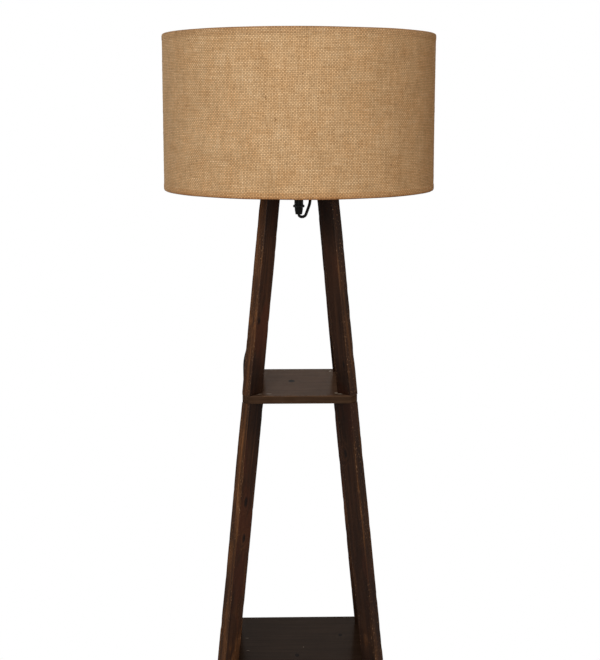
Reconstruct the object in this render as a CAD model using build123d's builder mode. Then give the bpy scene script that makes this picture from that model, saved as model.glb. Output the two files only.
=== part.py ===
"""Shelf floor lamp: four splayed boards in three tiers carry two shelves and a jute drum shade.

Millimetres, +Z up. The origin is on the floor, on the lamp's upright axis, and the front is -Y.
"""
from build123d import *
from math import cos, pi, radians, sin, sqrt, tan
import os

os.makedirs("parts", exist_ok=True)

# ---------------------------------------------------------------- driving dimensions
# heights of the frame
foot_space = 226.0            # from the glides up to the lower shelf
middle_bay = 436.0            # from the lower shelf up to the mid shelf
upper_bay = 294.0             # from the mid shelf up to the top plate
shelf_thickness = 12.0
plate_thickness = 12.0

# boards and panels
board_thickness = 15.0
board_depth = 26.5
board_chamfer = 1.2
lower_shelf_reach = 174.0     # axis to a board's outer edge, along the diagonal
mid_shelf_reach = 113.2
top_plate_reach = 73.6
shelf_edge_margin = 1.0       # panel corner beyond the board standing on it
mid_corner_clip = 12.7        # length of the clipped corner's face
lower_corner_clip = 12.7
plate_corner_clip = 8.0
panel_chamfer = 1.0

# joinery
dowel_radius = 4.0
dowel_bite = 20.0
dowel_clearance = 0.05
screw_shank_radius = 2.0
screw_head_radius = 4.0
screw_head_recess = 0.3
screw_length = 38.0
screw_clearance = 0.05
glide_radius = 7.0
glide_thickness = 4.0
glide_nail_radius = 1.4
glide_nail_length = 14.0

# threaded tube through the plate
tube_radius = 5.0
tube_bore_radius = 3.2
tube_plate_clearance = 0.2
thread_clearance = 0.05
sleeve_radius = 6.8
sleeve_length = 18.0
nut_flats = 15.0
nut_thickness = 4.0
grip_top_radius = 6.3
grip_bottom_radius = 5.1
grip_length = 10.5
grip_lip = 2.0
washer_radius = 11.0
washer_thickness = 1.0

# lamp holder
cap_neck_radius = 7.5
cap_neck_height = 5.0
cap_slope_height = 7.0
cap_skirt_height = 6.0
holder_wall = 1.6
holder_radius = 19.5
holder_height = 36.0
shoulder_radius = 22.6
shoulder_height = 6.0
shoulder_thickness = 2.0
insert_height = 8.0
insert_clearance = 0.2
screw_shell_radius = 13.65
screw_shell_wall = 0.4
screw_shell_height = 22.0
leaf_width = 7.0
leaf_thickness = 0.5
leaf_rise = 3.0
wire_radius = 0.9
clamp_ring_radius = 27.0
clamp_ring_height = 7.0
clamp_ring_flange = 2.0
clamp_ring_ribs = 24

# bulb
bulb_length = 106.0
bulb_radius = 30.0
bulb_cap_radius = 13.15
bulb_cap_height = 22.0
bulb_thread_depth = 0.8
bulb_thread_pitch = 3.6
bulb_thread_count = 5
bulb_tip_radius = 4.4
bulb_tip_height = 1.8
bulb_insulator_height = 4.0
bulb_neck_radius = 13.6
glass_wall = 0.9
contact_gap = 0.2

# shade
shade_radius = 203.2
shade_height = 228.6
shade_drop = 5.6              # the shade's lower rim below the plate's top
fabric_thickness = 1.2
hem_height = 9.0
hem_step = 0.4
fold_thickness = 0.6
fold_height = 7.0
ring_wire_radius = 1.5
ring_clearance = 0.1
liner_thickness = 0.6
arm_width = 4.0
arm_thickness = 1.8
arm_count = 3
arm_start_angle = 90.0
fitter_radius = 25.0
fitter_thickness = 2.0
fitter_clearance = 0.25
arm_notch_width = 6.0

# lead, its clips, and what hangs on it
cord_radius = 2.25
clip_wall = 1.3
clip_length = 5.0
upper_clip_drops = (62.0, 134.0, 218.0)             # clips below the top plate
middle_clip_drops = (72.0, 180.0, 286.0, 392.0)     # clips below the mid shelf
foot_clip_drop = 46.0                               # clip below the lower shelf
last_clip_height = 72.0
clip_tab = 3.6
clip_nail_radius = 0.8
clip_nail_length = 11.0
cord_clearance = 0.1
corner_gap = 0.5              # lead to a shelf corner
mid_bulge = 6.0               # how far the slack lead stands off the mid shelf's corner
lead_settle_drop = 46.0       # plate down to where the lead lies on the board
bulge_start_rise = 66.0       # mid shelf's top up to where the lead leaves the board
bulge_end_drop = 62.0         # mid shelf's underside down to where it lies on the board again
lead_end_height = 64.0

# switch in the lead
switch_x = -86.0
switch_y = 228.0
switch_length = 62.0
switch_width = 26.0
switch_height = 13.0
switch_wall = 1.6
switch_corner = 7.0
window_length = 20.0
window_width = 11.0
rocker_clearance = 0.3
rocker_tilt = 8.0
rocker_crown = 3.4
rocker_dip = 1.6
pivot_drop = 3.0              # pivot below the cover's top
pin_radius = 1.2
pin_clearance = 0.05
ear_thickness = 1.8
relief_length = 20.0
relief_root_radius = 3.9
relief_tip_radius = 2.9
terminal_length = 8.0
terminal_width = 6.0
terminal_height = 3.2
switch_screw_radius = 1.2

# coil and plug
coil_x = 12.0
coil_y = 190.0
coil_radius = 25.0
coil_columns = 4
coil_layers = 2
coil_edge = 2.2
tie_width = 8.0
tie_thickness = 0.8
plug_x = 84.0
plug_y = 208.0
plug_relief_length = 22.0
plug_body_length = 34.0
plug_width = 35.0
plug_thickness = 13.7
plug_rear_width = 13.0
plug_rear_height = 10.0
pin_spacing = 18.6
plug_pin_radius = 2.0
plug_pin_length = 19.0
plug_sleeve_radius = 1.9
plug_sleeve_length = 10.0

# ---------------------------------------------------------------- heights that follow
foot_base = glide_thickness
board_slope = (lower_shelf_reach - mid_shelf_reach) / middle_bay
floor_reach = lower_shelf_reach + board_slope * (foot_space + shelf_thickness)
lower_shelf_base = foot_base + foot_space
lower_shelf_top = lower_shelf_base + shelf_thickness
mid_shelf_base = lower_shelf_top + middle_bay
mid_shelf_top = mid_shelf_base + shelf_thickness
plate_base = mid_shelf_top + upper_bay
plate_top = plate_base + plate_thickness
shade_base = plate_top - shade_drop
shade_top = shade_base + shade_height
switch_end = switch_length / 2
parting = switch_height / 2
plug_height = plug_thickness / 2 + cord_clearance

diagonals = {"front_left": 225, "front_right": 315, "rear_left": 135, "rear_right": 45}
lead_diagonal = diagonals["rear_left"]


def finish(part, label):
    """Label one finished piece and write it."""
    part.label = label
    export_step(part, f"parts/{label}.step")


def on_diagonal(angle, reach, height):
    """A point at a distance from the axis, in the direction of one board."""
    return (reach * cos(radians(angle)), reach * sin(radians(angle)), height)


def panel_half(reach, clip):
    """Half the side of a square panel whose clipped corners pass a board by the margin."""
    return (reach + shelf_edge_margin + clip / 2) / sqrt(2)


def bend_radii(route):
    """The largest arc that each corner of a cord's route leaves room for."""
    radii = []
    for before, corner, after in zip(route, route[1:], route[2:]):
        arriving = Vector(*corner) - Vector(*before)
        leaving = Vector(*after) - Vector(*corner)
        half_turn = radians(arriving.get_angle(leaving)) / 2
        radii.append(0.45 * min(arriving.length, leaving.length) / tan(half_turn))
    return radii


def make_lead(route, label):
    """A plain round tube along straight runs joined by tangent arcs."""
    radii = bend_radii(route)
    with BuildPart() as lead:
        with BuildLine():
            path = FilletPolyline(*route, radius=radii)
        with BuildSketch(Plane(origin=path @ 0, z_dir=path % 0)):
            Circle(cord_radius)
        sweep(path=path)
    ideal = pi * cord_radius**2 * path.length
    print(label, "radii", [round(r, 1) for r in radii], "length", round(path.length, 1),
          "volume ratio", round(lead.part.volume / ideal, 5))
    finish(lead.part, label)
    return path.length


# ---------------------------------------------------------------- boards
mid_joint_reach = mid_shelf_reach - board_depth / 2
lower_joint_reach = lower_shelf_reach - board_depth / 2
plate_joint_reach = top_plate_reach - board_depth / 2
foot_joint_reach = floor_reach - board_depth / 2

tiers = {
    "upper_leg": (mid_shelf_top, mid_shelf_reach, plate_base, top_plate_reach),
    "middle_leg": (lower_shelf_top, lower_shelf_reach, mid_shelf_base, mid_shelf_reach),
    "foot_leg": (foot_base, floor_reach, lower_shelf_base, lower_shelf_reach),
}


def board_reach(tier, height):
    """Distance of a board's outer edge from the axis at one height."""
    low, low_reach, high, high_reach = tiers[tier]
    return low_reach + (high_reach - low_reach) * (height - low) / (high - low)


def drill(angle, reach, height, radius, depth):
    """Cut an upright hole that starts at a board's end and runs into it."""
    with Locations(on_diagonal(angle, reach, height + depth / 2)):
        Cylinder(radius, abs(depth), mode=Mode.SUBTRACT)


for tier, (low, low_reach, high, high_reach) in tiers.items():
    for place, angle in diagonals.items():
        radial_plane = Plane(origin=(0, 0, 0), x_dir=on_diagonal(angle, 1, 0),
                             z_dir=on_diagonal(angle - 90, 1, 0))
        with BuildPart() as board:
            with BuildSketch(radial_plane):
                with BuildLine():
                    Polyline((low_reach, low), (high_reach, high), (high_reach - board_depth, high),
                             (low_reach - board_depth, low), close=True)
                make_face()
            extrude(amount=board_thickness / 2, both=True)
            long_edges = board.edges().filter_by(lambda edge: edge.length > board_depth * 2)
            chamfer(long_edges, board_chamfer)
            if tier == "upper_leg":
                drill(angle, plate_joint_reach, high, screw_shank_radius + screw_clearance,
                      plate_thickness - screw_length)
                drill(angle, mid_joint_reach, low, dowel_radius + dowel_clearance, dowel_bite)
            elif tier == "middle_leg":
                drill(angle, mid_joint_reach, high, dowel_radius + dowel_clearance, -dowel_bite)
                drill(angle, lower_joint_reach, low, dowel_radius + dowel_clearance, dowel_bite)
            else:
                drill(angle, lower_joint_reach, high, dowel_radius + dowel_clearance, -dowel_bite)
                drill(angle, foot_joint_reach, low, glide_nail_radius + screw_clearance,
                      glide_nail_length)
        finish(board.part, f"{tier}_{place}")

# ---------------------------------------------------------------- shelves, plate and joinery
panels = {
    "lower_shelf": (lower_shelf_base, panel_half(lower_shelf_reach, lower_corner_clip),
                    lower_corner_clip, shelf_thickness),
    "mid_shelf": (mid_shelf_base, panel_half(mid_shelf_reach, mid_corner_clip),
                  mid_corner_clip, shelf_thickness),
    "top_plate": (plate_base, panel_half(top_plate_reach, plate_corner_clip),
                  plate_corner_clip, plate_thickness),
}
for label, (base, half, clip, thickness) in panels.items():
    with BuildPart() as panel:
        with BuildSketch(Plane.XY.offset(base)):
            Rectangle(2 * half, 2 * half)
            chamfer(vertices(), clip / sqrt(2))
        extrude(amount=thickness)
        chamfer(panel.faces().filter_by(Axis.Z).edges(), panel_chamfer)
        if label == "top_plate":
            with Locations((0, 0, base + thickness)):
                Hole(tube_radius + tube_plate_clearance)
            with PolarLocations(plate_joint_reach, 4, start_angle=45):
                with Locations((0, 0, base + thickness)):
                    CounterSinkHole(screw_shank_radius + screw_clearance,
                                    screw_head_radius + screw_clearance, counter_sink_angle=90)
        else:
            reach = mid_joint_reach if label == "mid_shelf" else lower_joint_reach
            with PolarLocations(reach, 4, start_angle=45):
                with Locations((0, 0, base + thickness)):
                    Hole(dowel_radius + dowel_clearance)
    finish(panel.part, label)

for label, reach, base in (("mid_shelf_dowels", mid_joint_reach, mid_shelf_base),
                           ("lower_shelf_dowels", lower_joint_reach, lower_shelf_base)):
    with BuildPart() as dowels:
        with Locations((0, 0, base + shelf_thickness / 2)):
            with PolarLocations(reach, 4, start_angle=45):
                Cylinder(dowel_radius, shelf_thickness + 2 * dowel_bite - 1)
    finish(dowels.part, label)

with BuildPart() as top_screws:
    for angle in diagonals.values():
        tip = plate_top - screw_length + 1
        head_top = plate_top - screw_head_recess
        rim = screw_head_radius - screw_head_recess
        with BuildSketch(Plane(origin=on_diagonal(angle, plate_joint_reach, 0), x_dir=(1, 0, 0),
                               z_dir=(0, -1, 0))):
            with BuildLine():
                Polyline((0, tip), (screw_shank_radius, tip + 2 * screw_shank_radius),
                         (screw_shank_radius, head_top - rim + screw_shank_radius),
                         (rim, head_top), (0, head_top), close=True)
            make_face()
        revolve(axis=Axis(on_diagonal(angle, plate_joint_reach, 0), (0, 0, 1)))
finish(top_screws.part, "top_screws")

with BuildPart() as foot_glides:
    with PolarLocations(foot_joint_reach, 4, start_angle=45):
        Cylinder(glide_radius, glide_thickness, align=(Align.CENTER, Align.CENTER, Align.MIN))
    chamfer(foot_glides.faces().filter_by(Axis.Z).sort_by(Axis.Z)[:4].edges(), 0.8)
    with Locations((0, 0, glide_thickness)):
        with PolarLocations(foot_joint_reach, 4, start_angle=45):
            Cylinder(glide_nail_radius, glide_nail_length - 1,
                     align=(Align.CENTER, Align.CENTER, Align.MIN))
finish(foot_glides.part, "foot_glides")

# ---------------------------------------------------------------- threaded tube and its hardware
sleeve_base = plate_base - sleeve_length
nut_base = sleeve_base - nut_thickness
grip_base = nut_base - grip_length
tube_base = grip_base + grip_lip
cap_base = plate_top + washer_thickness
cap_top = cap_base + cap_neck_height + cap_slope_height + cap_skirt_height
tube_top = cap_base + cap_neck_height + 1


def turned(label, outline):
    """A piece turned about the lamp's axis from half of its section."""
    with BuildPart() as piece:
        with BuildSketch(Plane.XZ):
            with BuildLine():
                Polyline(*outline, close=True)
            make_face()
        revolve(axis=Axis.Z)
    return piece


tube = turned("threaded_tube", [(tube_bore_radius, tube_base), (tube_radius, tube_base),
                                (tube_radius, tube_top), (tube_bore_radius, tube_top)])
finish(tube.part, "threaded_tube")

threaded_bore = tube_radius + thread_clearance
sleeve = turned("spacer_sleeve", [(threaded_bore, sleeve_base), (sleeve_radius, sleeve_base),
                                  (sleeve_radius, plate_base), (threaded_bore, plate_base)])
finish(sleeve.part, "spacer_sleeve")

with BuildPart() as lock_nut:
    with BuildSketch(Plane.XY.offset(nut_base)):
        RegularPolygon(nut_flats / 2, 6, major_radius=False)
        Circle(threaded_bore, mode=Mode.SUBTRACT)
    extrude(amount=nut_thickness)
    chamfer(lock_nut.faces().filter_by(Axis.Z).edges().filter_by(GeomType.LINE), 0.6)
finish(lock_nut.part, "lock_nut")

grip_hole = cord_radius + cord_clearance
cord_grip = turned("cord_grip", [(grip_hole, grip_base), (grip_bottom_radius, grip_base),
                                 (grip_top_radius, nut_base - 3), (grip_top_radius, nut_base),
                                 (threaded_bore, nut_base), (threaded_bore, tube_base),
                                 (grip_hole, tube_base)])
finish(cord_grip.part, "cord_grip")

washer = turned("plate_washer", [(threaded_bore, plate_top), (washer_radius, plate_top),
                                 (washer_radius, cap_base), (threaded_bore, cap_base)])
finish(washer.part, "plate_washer")

# ---------------------------------------------------------------- lamp holder
cap_slope_base = cap_base + cap_neck_height
cap_skirt_base = cap_slope_base + cap_slope_height
holder_cap = turned("holder_cap", [
    (threaded_bore, cap_base), (cap_neck_radius, cap_base), (cap_neck_radius, cap_slope_base),
    (holder_radius, cap_skirt_base), (holder_radius, cap_top),
    (holder_radius - holder_wall, cap_top), (holder_radius - holder_wall, cap_skirt_base + 0.5),
    (cap_neck_radius, cap_slope_base + holder_wall), (threaded_bore, cap_slope_base + holder_wall)])
finish(holder_cap.part, "holder_cap")

holder_top = cap_top + holder_height
shoulder_base = cap_top + shoulder_height
shoulder_top = shoulder_base + shoulder_thickness
ledge = 1.5
holder_bore = holder_radius - holder_wall
holder_shell = turned("holder_shell", [
    (holder_bore - ledge, cap_top), (holder_radius, cap_top), (holder_radius, shoulder_base),
    (shoulder_radius, shoulder_base), (shoulder_radius, shoulder_top),
    (holder_radius, shoulder_top), (holder_radius, holder_top - 0.8),
    (holder_radius - 0.8, holder_top), (holder_bore, holder_top),
    (holder_bore, cap_top + ledge), (holder_bore - ledge, cap_top + ledge)])
finish(holder_shell.part, "holder_shell")

insert_base = cap_top + ledge
insert_top = insert_base + insert_height
with BuildPart() as holder_insert:
    with Locations((0, 0, insert_base)):
        Cylinder(holder_bore - insert_clearance, insert_height,
                 align=(Align.CENTER, Align.CENTER, Align.MIN))
    with Locations((-2 * wire_radius - 6, 0, insert_top), (2 * wire_radius + 6, 0, insert_top)):
        Hole(wire_radius + thread_clearance)
finish(holder_insert.part, "holder_insert")

screw_shell_top = insert_top + screw_shell_height
shell_bore = screw_shell_radius - screw_shell_wall
screw_shell = turned("screw_shell", [
    (shell_bore - 1.6, insert_top), (screw_shell_radius, insert_top),
    (screw_shell_radius, screw_shell_top - 1), (screw_shell_radius + 1, screw_shell_top),
    (shell_bore + 1, screw_shell_top), (shell_bore, screw_shell_top - 1),
    (shell_bore, insert_top + screw_shell_wall), (shell_bore - 1.6, insert_top + screw_shell_wall)])
finish(screw_shell.part, "screw_shell")

# springy brass leaf: a foot on the insert, a rise, and a tongue under the bulb's tip
leaf_top = insert_top + leaf_rise
with BuildPart() as centre_contact:
    with BuildSketch(Plane.XZ.offset(-leaf_width / 2)):
        with BuildLine():
            Polyline((-6, insert_top), (1, insert_top), (1, insert_top + leaf_thickness),
                     (-4.4, insert_top + leaf_thickness), (-4.9, leaf_top - leaf_thickness - 0.5),
                     (-4.4, leaf_top - leaf_thickness), (4, leaf_top - leaf_thickness),
                     (4, leaf_top), (-4.6, leaf_top), (-6, leaf_top - 1), close=True)
        make_face()
    extrude(amount=leaf_width)
finish(centre_contact.part, "centre_contact")

with BuildPart() as holder_wires:
    for side in (-1, 1):
        wire_route = [(side * 1.1, 0, tube_top + 1.1), (side * 1.1, 0, tube_top + 4.5),
                      (side * (2 * wire_radius + 6), 0, insert_base - 4),
                      (side * (2 * wire_radius + 6), 0, insert_top - 1)]
        with BuildLine():
            wire_path = FilletPolyline(*wire_route, radius=[1.4, 2.0])
        with BuildSketch(Plane(origin=wire_path @ 0, z_dir=wire_path % 0)):
            Circle(wire_radius)
        sweep(path=wire_path)
finish(holder_wires.part, "holder_wires")

# ---------------------------------------------------------------- ring that clamps the shade
fitter_base = shoulder_top
fitter_top = fitter_base + fitter_thickness
ring_top = fitter_top + clamp_ring_height
ring_bore = holder_radius + thread_clearance
with BuildPart() as clamp_ring:
    with BuildSketch(Plane.XZ):
        with BuildLine():
            Polyline((ring_bore, fitter_top), (clamp_ring_radius, fitter_top),
                     (clamp_ring_radius, fitter_top + clamp_ring_flange),
                     (clamp_ring_radius - 4, fitter_top + clamp_ring_flange + 1),
                     (clamp_ring_radius - 4.6, ring_top), (ring_bore, ring_top), close=True)
        make_face()
    revolve(axis=Axis.Z)
    with Locations((0, 0, fitter_top + clamp_ring_flange / 2)):
        with PolarLocations(clamp_ring_radius + 0.3, clamp_ring_ribs):
            Cylinder(0.9, clamp_ring_flange + 1, mode=Mode.SUBTRACT)
finish(clamp_ring.part, "clamp_ring")

# ---------------------------------------------------------------- bulb
tip_base = leaf_top + contact_gap
tip_top = tip_base + bulb_tip_height
bulb_cap_base = tip_top + bulb_insulator_height
bulb_cap_top = bulb_cap_base + bulb_cap_height
bulb_top = tip_base + bulb_length
globe_height = bulb_top - bulb_radius

bulb_tip = turned("bulb_tip", [(0, tip_base), (bulb_tip_radius - 1, tip_base),
                               (bulb_tip_radius, tip_base + 1), (bulb_tip_radius, tip_top),
                               (0, tip_top)])
finish(bulb_tip.part, "bulb_tip")

thread_root = bulb_cap_radius - bulb_thread_depth
bulb_insulator = turned("bulb_insulator", [(0, tip_top), (bulb_tip_radius + 0.6, tip_top),
                                           (thread_root - 1.4, bulb_cap_base), (0, bulb_cap_base)])
finish(bulb_insulator.part, "bulb_insulator")

with BuildPart() as bulb_cap:
    thread_base = bulb_cap_base + 1.2
    with BuildSketch(Plane.XZ):
        with BuildLine():
            crest = [(0, bulb_cap_base), (thread_root - 1.2, bulb_cap_base),
                     (thread_root, thread_base)]
            for turn in range(bulb_thread_count):
                root = thread_base + turn * bulb_thread_pitch
                crest += [(bulb_cap_radius, root + bulb_thread_pitch / 3),
                          (bulb_cap_radius, root + bulb_thread_pitch / 2),
                          (thread_root, root + bulb_thread_pitch * 5 / 6)]
            crest += [(thread_root, bulb_cap_top), (0, bulb_cap_top)]
            Polyline(*crest, close=True)
        make_face()
    revolve(axis=Axis.Z)
finish(bulb_cap.part, "bulb_cap")

# the glass swells from its neck into a round globe
with BuildPart() as bulb_glass:
    with BuildSketch(Plane.XZ):
        with BuildLine():
            neck = (bulb_neck_radius, bulb_cap_top + 9)
            shoulder_angle = radians(-28)
            shoulder = (bulb_radius * cos(shoulder_angle),
                        globe_height + bulb_radius * sin(shoulder_angle))
            Line((0, bulb_cap_top), (bulb_neck_radius, bulb_cap_top))
            Line((bulb_neck_radius, bulb_cap_top), neck)
            Spline(neck, shoulder, tangents=[(0, 1), (-sin(shoulder_angle), cos(shoulder_angle))])
            ThreePointArc(shoulder, (bulb_radius * cos(radians(35)),
                                     globe_height + bulb_radius * sin(radians(35))),
                          (0, bulb_top))
            Line((0, bulb_top), (0, bulb_cap_top))
        make_face()
    revolve(axis=Axis.Z)
    lower_face = bulb_glass.faces().sort_by(Axis.Z)[0]
    offset(amount=-glass_wall, openings=lower_face)
finish(bulb_glass.part, "bulb_glass")

# ---------------------------------------------------------------- shade
fabric_inner = shade_radius - hem_step - fabric_thickness
channel_outer = fabric_inner - ring_clearance
ring_radius = channel_outer - ring_wire_radius
fold_outer = ring_radius - ring_wire_radius - ring_clearance
fold_inner = fold_outer - fold_thickness
lower_ring_height = shade_base + fold_thickness + ring_clearance + ring_wire_radius
upper_ring_height = shade_top - fold_thickness - ring_clearance - ring_wire_radius
hem_radius = shade_radius - hem_step

with BuildPart() as shade_cover:
    with BuildSketch(Plane.XZ):
        with BuildLine():
            Polyline(
                (fold_inner, shade_base), (shade_radius, shade_base),
                (shade_radius, shade_base + hem_height), (hem_radius, shade_base + hem_height + 0.4),
                (hem_radius, shade_top - hem_height - 0.4), (shade_radius, shade_top - hem_height),
                (shade_radius, shade_top), (fold_inner, shade_top),
                (fold_inner, shade_top - fold_height), (fold_outer, shade_top - fold_height),
                (fold_outer, shade_top - fold_thickness), (fabric_inner, shade_top - fold_thickness),
                (fabric_inner, shade_base + fold_thickness), (fold_outer, shade_base + fold_thickness),
                (fold_outer, shade_base + fold_height), (fold_inner, shade_base + fold_height),
                close=True)
        make_face()
    revolve(axis=Axis.Z)
    with Locations((0, 0, shade_base + fold_thickness)):
        with PolarLocations(fold_inner, arm_count, start_angle=arm_start_angle):
            Box(3 * fold_thickness, arm_notch_width, fold_height + 1,
                align=(Align.CENTER, Align.CENTER, Align.MIN), mode=Mode.SUBTRACT)
finish(shade_cover.part, "shade_cover")

liner_outer = fabric_inner - ring_clearance
liner_margin = fold_thickness + 2 * ring_clearance + 2 * ring_wire_radius + 0.2
shade_liner = turned("shade_liner", [
    (liner_outer - liner_thickness, shade_base + liner_margin), (liner_outer, shade_base + liner_margin),
    (liner_outer, shade_top - liner_margin), (liner_outer - liner_thickness, shade_top - liner_margin)])
finish(shade_liner.part, "shade_liner")

with BuildPart() as shade_top_ring:
    with Locations((0, 0, upper_ring_height)):
        Torus(ring_radius, ring_wire_radius)
finish(shade_top_ring.part, "shade_top_ring")

with BuildPart() as shade_bottom_ring:
    with Locations((0, 0, lower_ring_height)):
        Torus(ring_radius, ring_wire_radius)
finish(shade_bottom_ring.part, "shade_bottom_ring")

# three flat arms rise from the bottom ring to the washer that the holder's shoulder carries
with BuildPart() as shade_spider:
    with Locations((0, 0, fitter_base)):
        Cylinder(fitter_radius, fitter_thickness, align=(Align.CENTER, Align.CENTER, Align.MIN))
    for arm in range(arm_count):
        arm_angle = arm_start_angle + arm * 360 / arm_count
        arm_end = Vector(*on_diagonal(arm_angle, ring_radius, lower_ring_height))
        arm_root = Vector(*on_diagonal(arm_angle, fitter_radius - 2, fitter_base + arm_thickness / 2))
        with BuildSketch(Plane(origin=arm_root, x_dir=on_diagonal(arm_angle + 90, 1, 0),
                               z_dir=arm_end - arm_root)):
            Rectangle(arm_width, arm_thickness)
        extrude(amount=(arm_end - arm_root).length)
    with Locations((0, 0, lower_ring_height)):
        Torus(ring_radius, ring_wire_radius + ring_clearance, mode=Mode.SUBTRACT)
    with Locations((0, 0, fitter_top)):
        Hole(holder_radius + fitter_clearance)
finish(shade_spider.part, "shade_spider")

# ---------------------------------------------------------------- lead along the frame
edge_gap = cord_radius + cord_clearance


def beside_board(tier, height, extra=0.0):
    """A point on the lead, lying on the outer edge of the rear left board."""
    return on_diagonal(lead_diagonal, board_reach(tier, height) + edge_gap + extra, height)


def beside_corner(half, clip, height, extra=0.0):
    """A point on the lead as it passes a panel's clipped corner."""
    corner_reach = half * sqrt(2) - clip / 2
    return on_diagonal(lead_diagonal, corner_reach + cord_radius + corner_gap + extra, height)


lower_half = panels["lower_shelf"][1]
mid_half = panels["mid_shelf"][1]
under_plate = plate_base - cord_radius - 0.5
frame_route = [
    (0, 0, tube_top + 1), (0, 0, grip_base - 4), (9.5, 2, grip_base - 4.2),
    (18.5, 6, grip_base + 20), (15, 22, under_plate), (2, 44, under_plate - 0.6),
    (-19, 64, under_plate - 5), (-44, 70, under_plate - 17),
    beside_board("upper_leg", plate_base - lead_settle_drop),
    beside_board("upper_leg", mid_shelf_top + bulge_start_rise),
    beside_board("upper_leg", mid_shelf_top + bulge_start_rise * 0.58, mid_bulge * 0.5),
    beside_corner(mid_half, mid_corner_clip, mid_shelf_top + 14, mid_bulge),
    beside_corner(mid_half, mid_corner_clip, mid_shelf_base - 10, mid_bulge * 0.9),
    beside_board("middle_leg", mid_shelf_base - bulge_end_drop * 0.55, mid_bulge * 0.4),
    beside_board("middle_leg", mid_shelf_base - bulge_end_drop),
    beside_board("middle_leg", lower_shelf_top + 34),
    beside_corner(lower_half, lower_corner_clip, lower_shelf_top + 6, 0.8),
    beside_corner(lower_half, lower_corner_clip, lower_shelf_base - 8, 1.0),
    beside_board("foot_leg", lower_shelf_base - 34),
    beside_board("foot_leg", lead_end_height),
]
make_lead(frame_route, "lead_on_frame")


def edge_plane(tier, height):
    """The plane across the rear left board's outer edge, with Y standing out of the wood."""
    low, low_reach, high, high_reach = tiers[tier]
    lean = (high_reach - low_reach) / (high - low)
    outward = Vector(*on_diagonal(lead_diagonal, 1, 0))
    along = (outward * lean + Vector(0, 0, 1)).normalized()
    stand_out = (outward - Vector(0, 0, 1) * lean).normalized()
    origin = Vector(*on_diagonal(lead_diagonal, board_reach(tier, height), height))
    return Plane(origin=origin, x_dir=stand_out.cross(along), z_dir=along)


clip_places = [("upper_leg", plate_base - drop) for drop in upper_clip_drops]
clip_places += [("middle_leg", mid_shelf_base - drop) for drop in middle_clip_drops]
clip_places += [("foot_leg", lower_shelf_base - foot_clip_drop), ("foot_leg", last_clip_height)]
clip_outer = cord_radius + cord_clearance + clip_wall
with BuildPart() as cable_clips:
    for tier, height in clip_places:
        with BuildSketch(edge_plane(tier, height)):
            with Locations((0, edge_gap)):
                Circle(clip_outer)
            with Locations((0, edge_gap / 2)):
                Rectangle(2 * clip_outer, edge_gap)
            with Locations((clip_outer + clip_tab / 2 - 1, edge_gap / 2)):
                Rectangle(clip_tab + 2, edge_gap)
            with Locations((0, edge_gap - clip_outer)):
                Rectangle(4 * clip_outer, 2 * (clip_outer - edge_gap), mode=Mode.SUBTRACT)
            with Locations((0, edge_gap)):
                Circle(cord_radius + cord_clearance * 0.5, mode=Mode.SUBTRACT)
            with Locations((0, edge_gap / 2)):
                Rectangle(2 * cord_radius + cord_clearance, edge_gap, mode=Mode.SUBTRACT)
        extrude(amount=clip_length / 2, both=True)
        nail_plane = edge_plane(tier, height)
        nail_foot = nail_plane.from_local_coords((clip_outer + clip_tab / 2, 0, 0))
        with BuildSketch(Plane(origin=nail_foot, z_dir=nail_plane.y_dir)):
            Circle(clip_nail_radius + 0.03)
        extrude(amount=edge_gap, mode=Mode.SUBTRACT)
finish(cable_clips.part, "cable_clips")

with BuildPart() as clip_nails:
    for tier, height in clip_places:
        nail_plane = edge_plane(tier, height)
        nail_head = nail_plane.from_local_coords((clip_outer + clip_tab / 2, edge_gap, 0))
        with BuildSketch(Plane(origin=nail_head, z_dir=nail_plane.y_dir)):
            Circle(2 * clip_nail_radius)
        extrude(amount=0.8)
        with BuildSketch(Plane(origin=nail_head, z_dir=-nail_plane.y_dir)):
            Circle(clip_nail_radius)
        extrude(amount=clip_nail_length)
finish(clip_nails.part, "clip_nails")

# ---------------------------------------------------------------- switch in the lead
switch_centre = (switch_x, switch_y)
pivot_height = switch_height - pivot_drop
with BuildPart() as switch_base:
    with BuildSketch():
        with Locations(switch_centre):
            RectangleRounded(switch_length, switch_width, switch_corner)
    extrude(amount=parting)
    fillet(switch_base.faces().sort_by(Axis.Z)[0].edges(), 1.5)
    with BuildSketch(Plane.XY.offset(switch_wall)):
        with Locations(switch_centre):
            RectangleRounded(switch_length - 2 * switch_wall, switch_width - 2 * switch_wall,
                             switch_corner - switch_wall)
    extrude(amount=parting, mode=Mode.SUBTRACT)
    with BuildSketch(Plane.XY.offset(switch_wall)):
        with Locations(switch_centre):
            with GridLocations(switch_length - 18, 0, 2, 1):
                Circle(2.6)
    extrude(amount=parting - switch_wall)
    with Locations((switch_x, switch_y, parting)):
        with GridLocations(switch_length - 18, 0, 2, 1):
            CounterBoreHole(switch_screw_radius + screw_clearance, 0.01 + switch_screw_radius, 0.01)
finish(switch_base.part, "switch_base")

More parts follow.
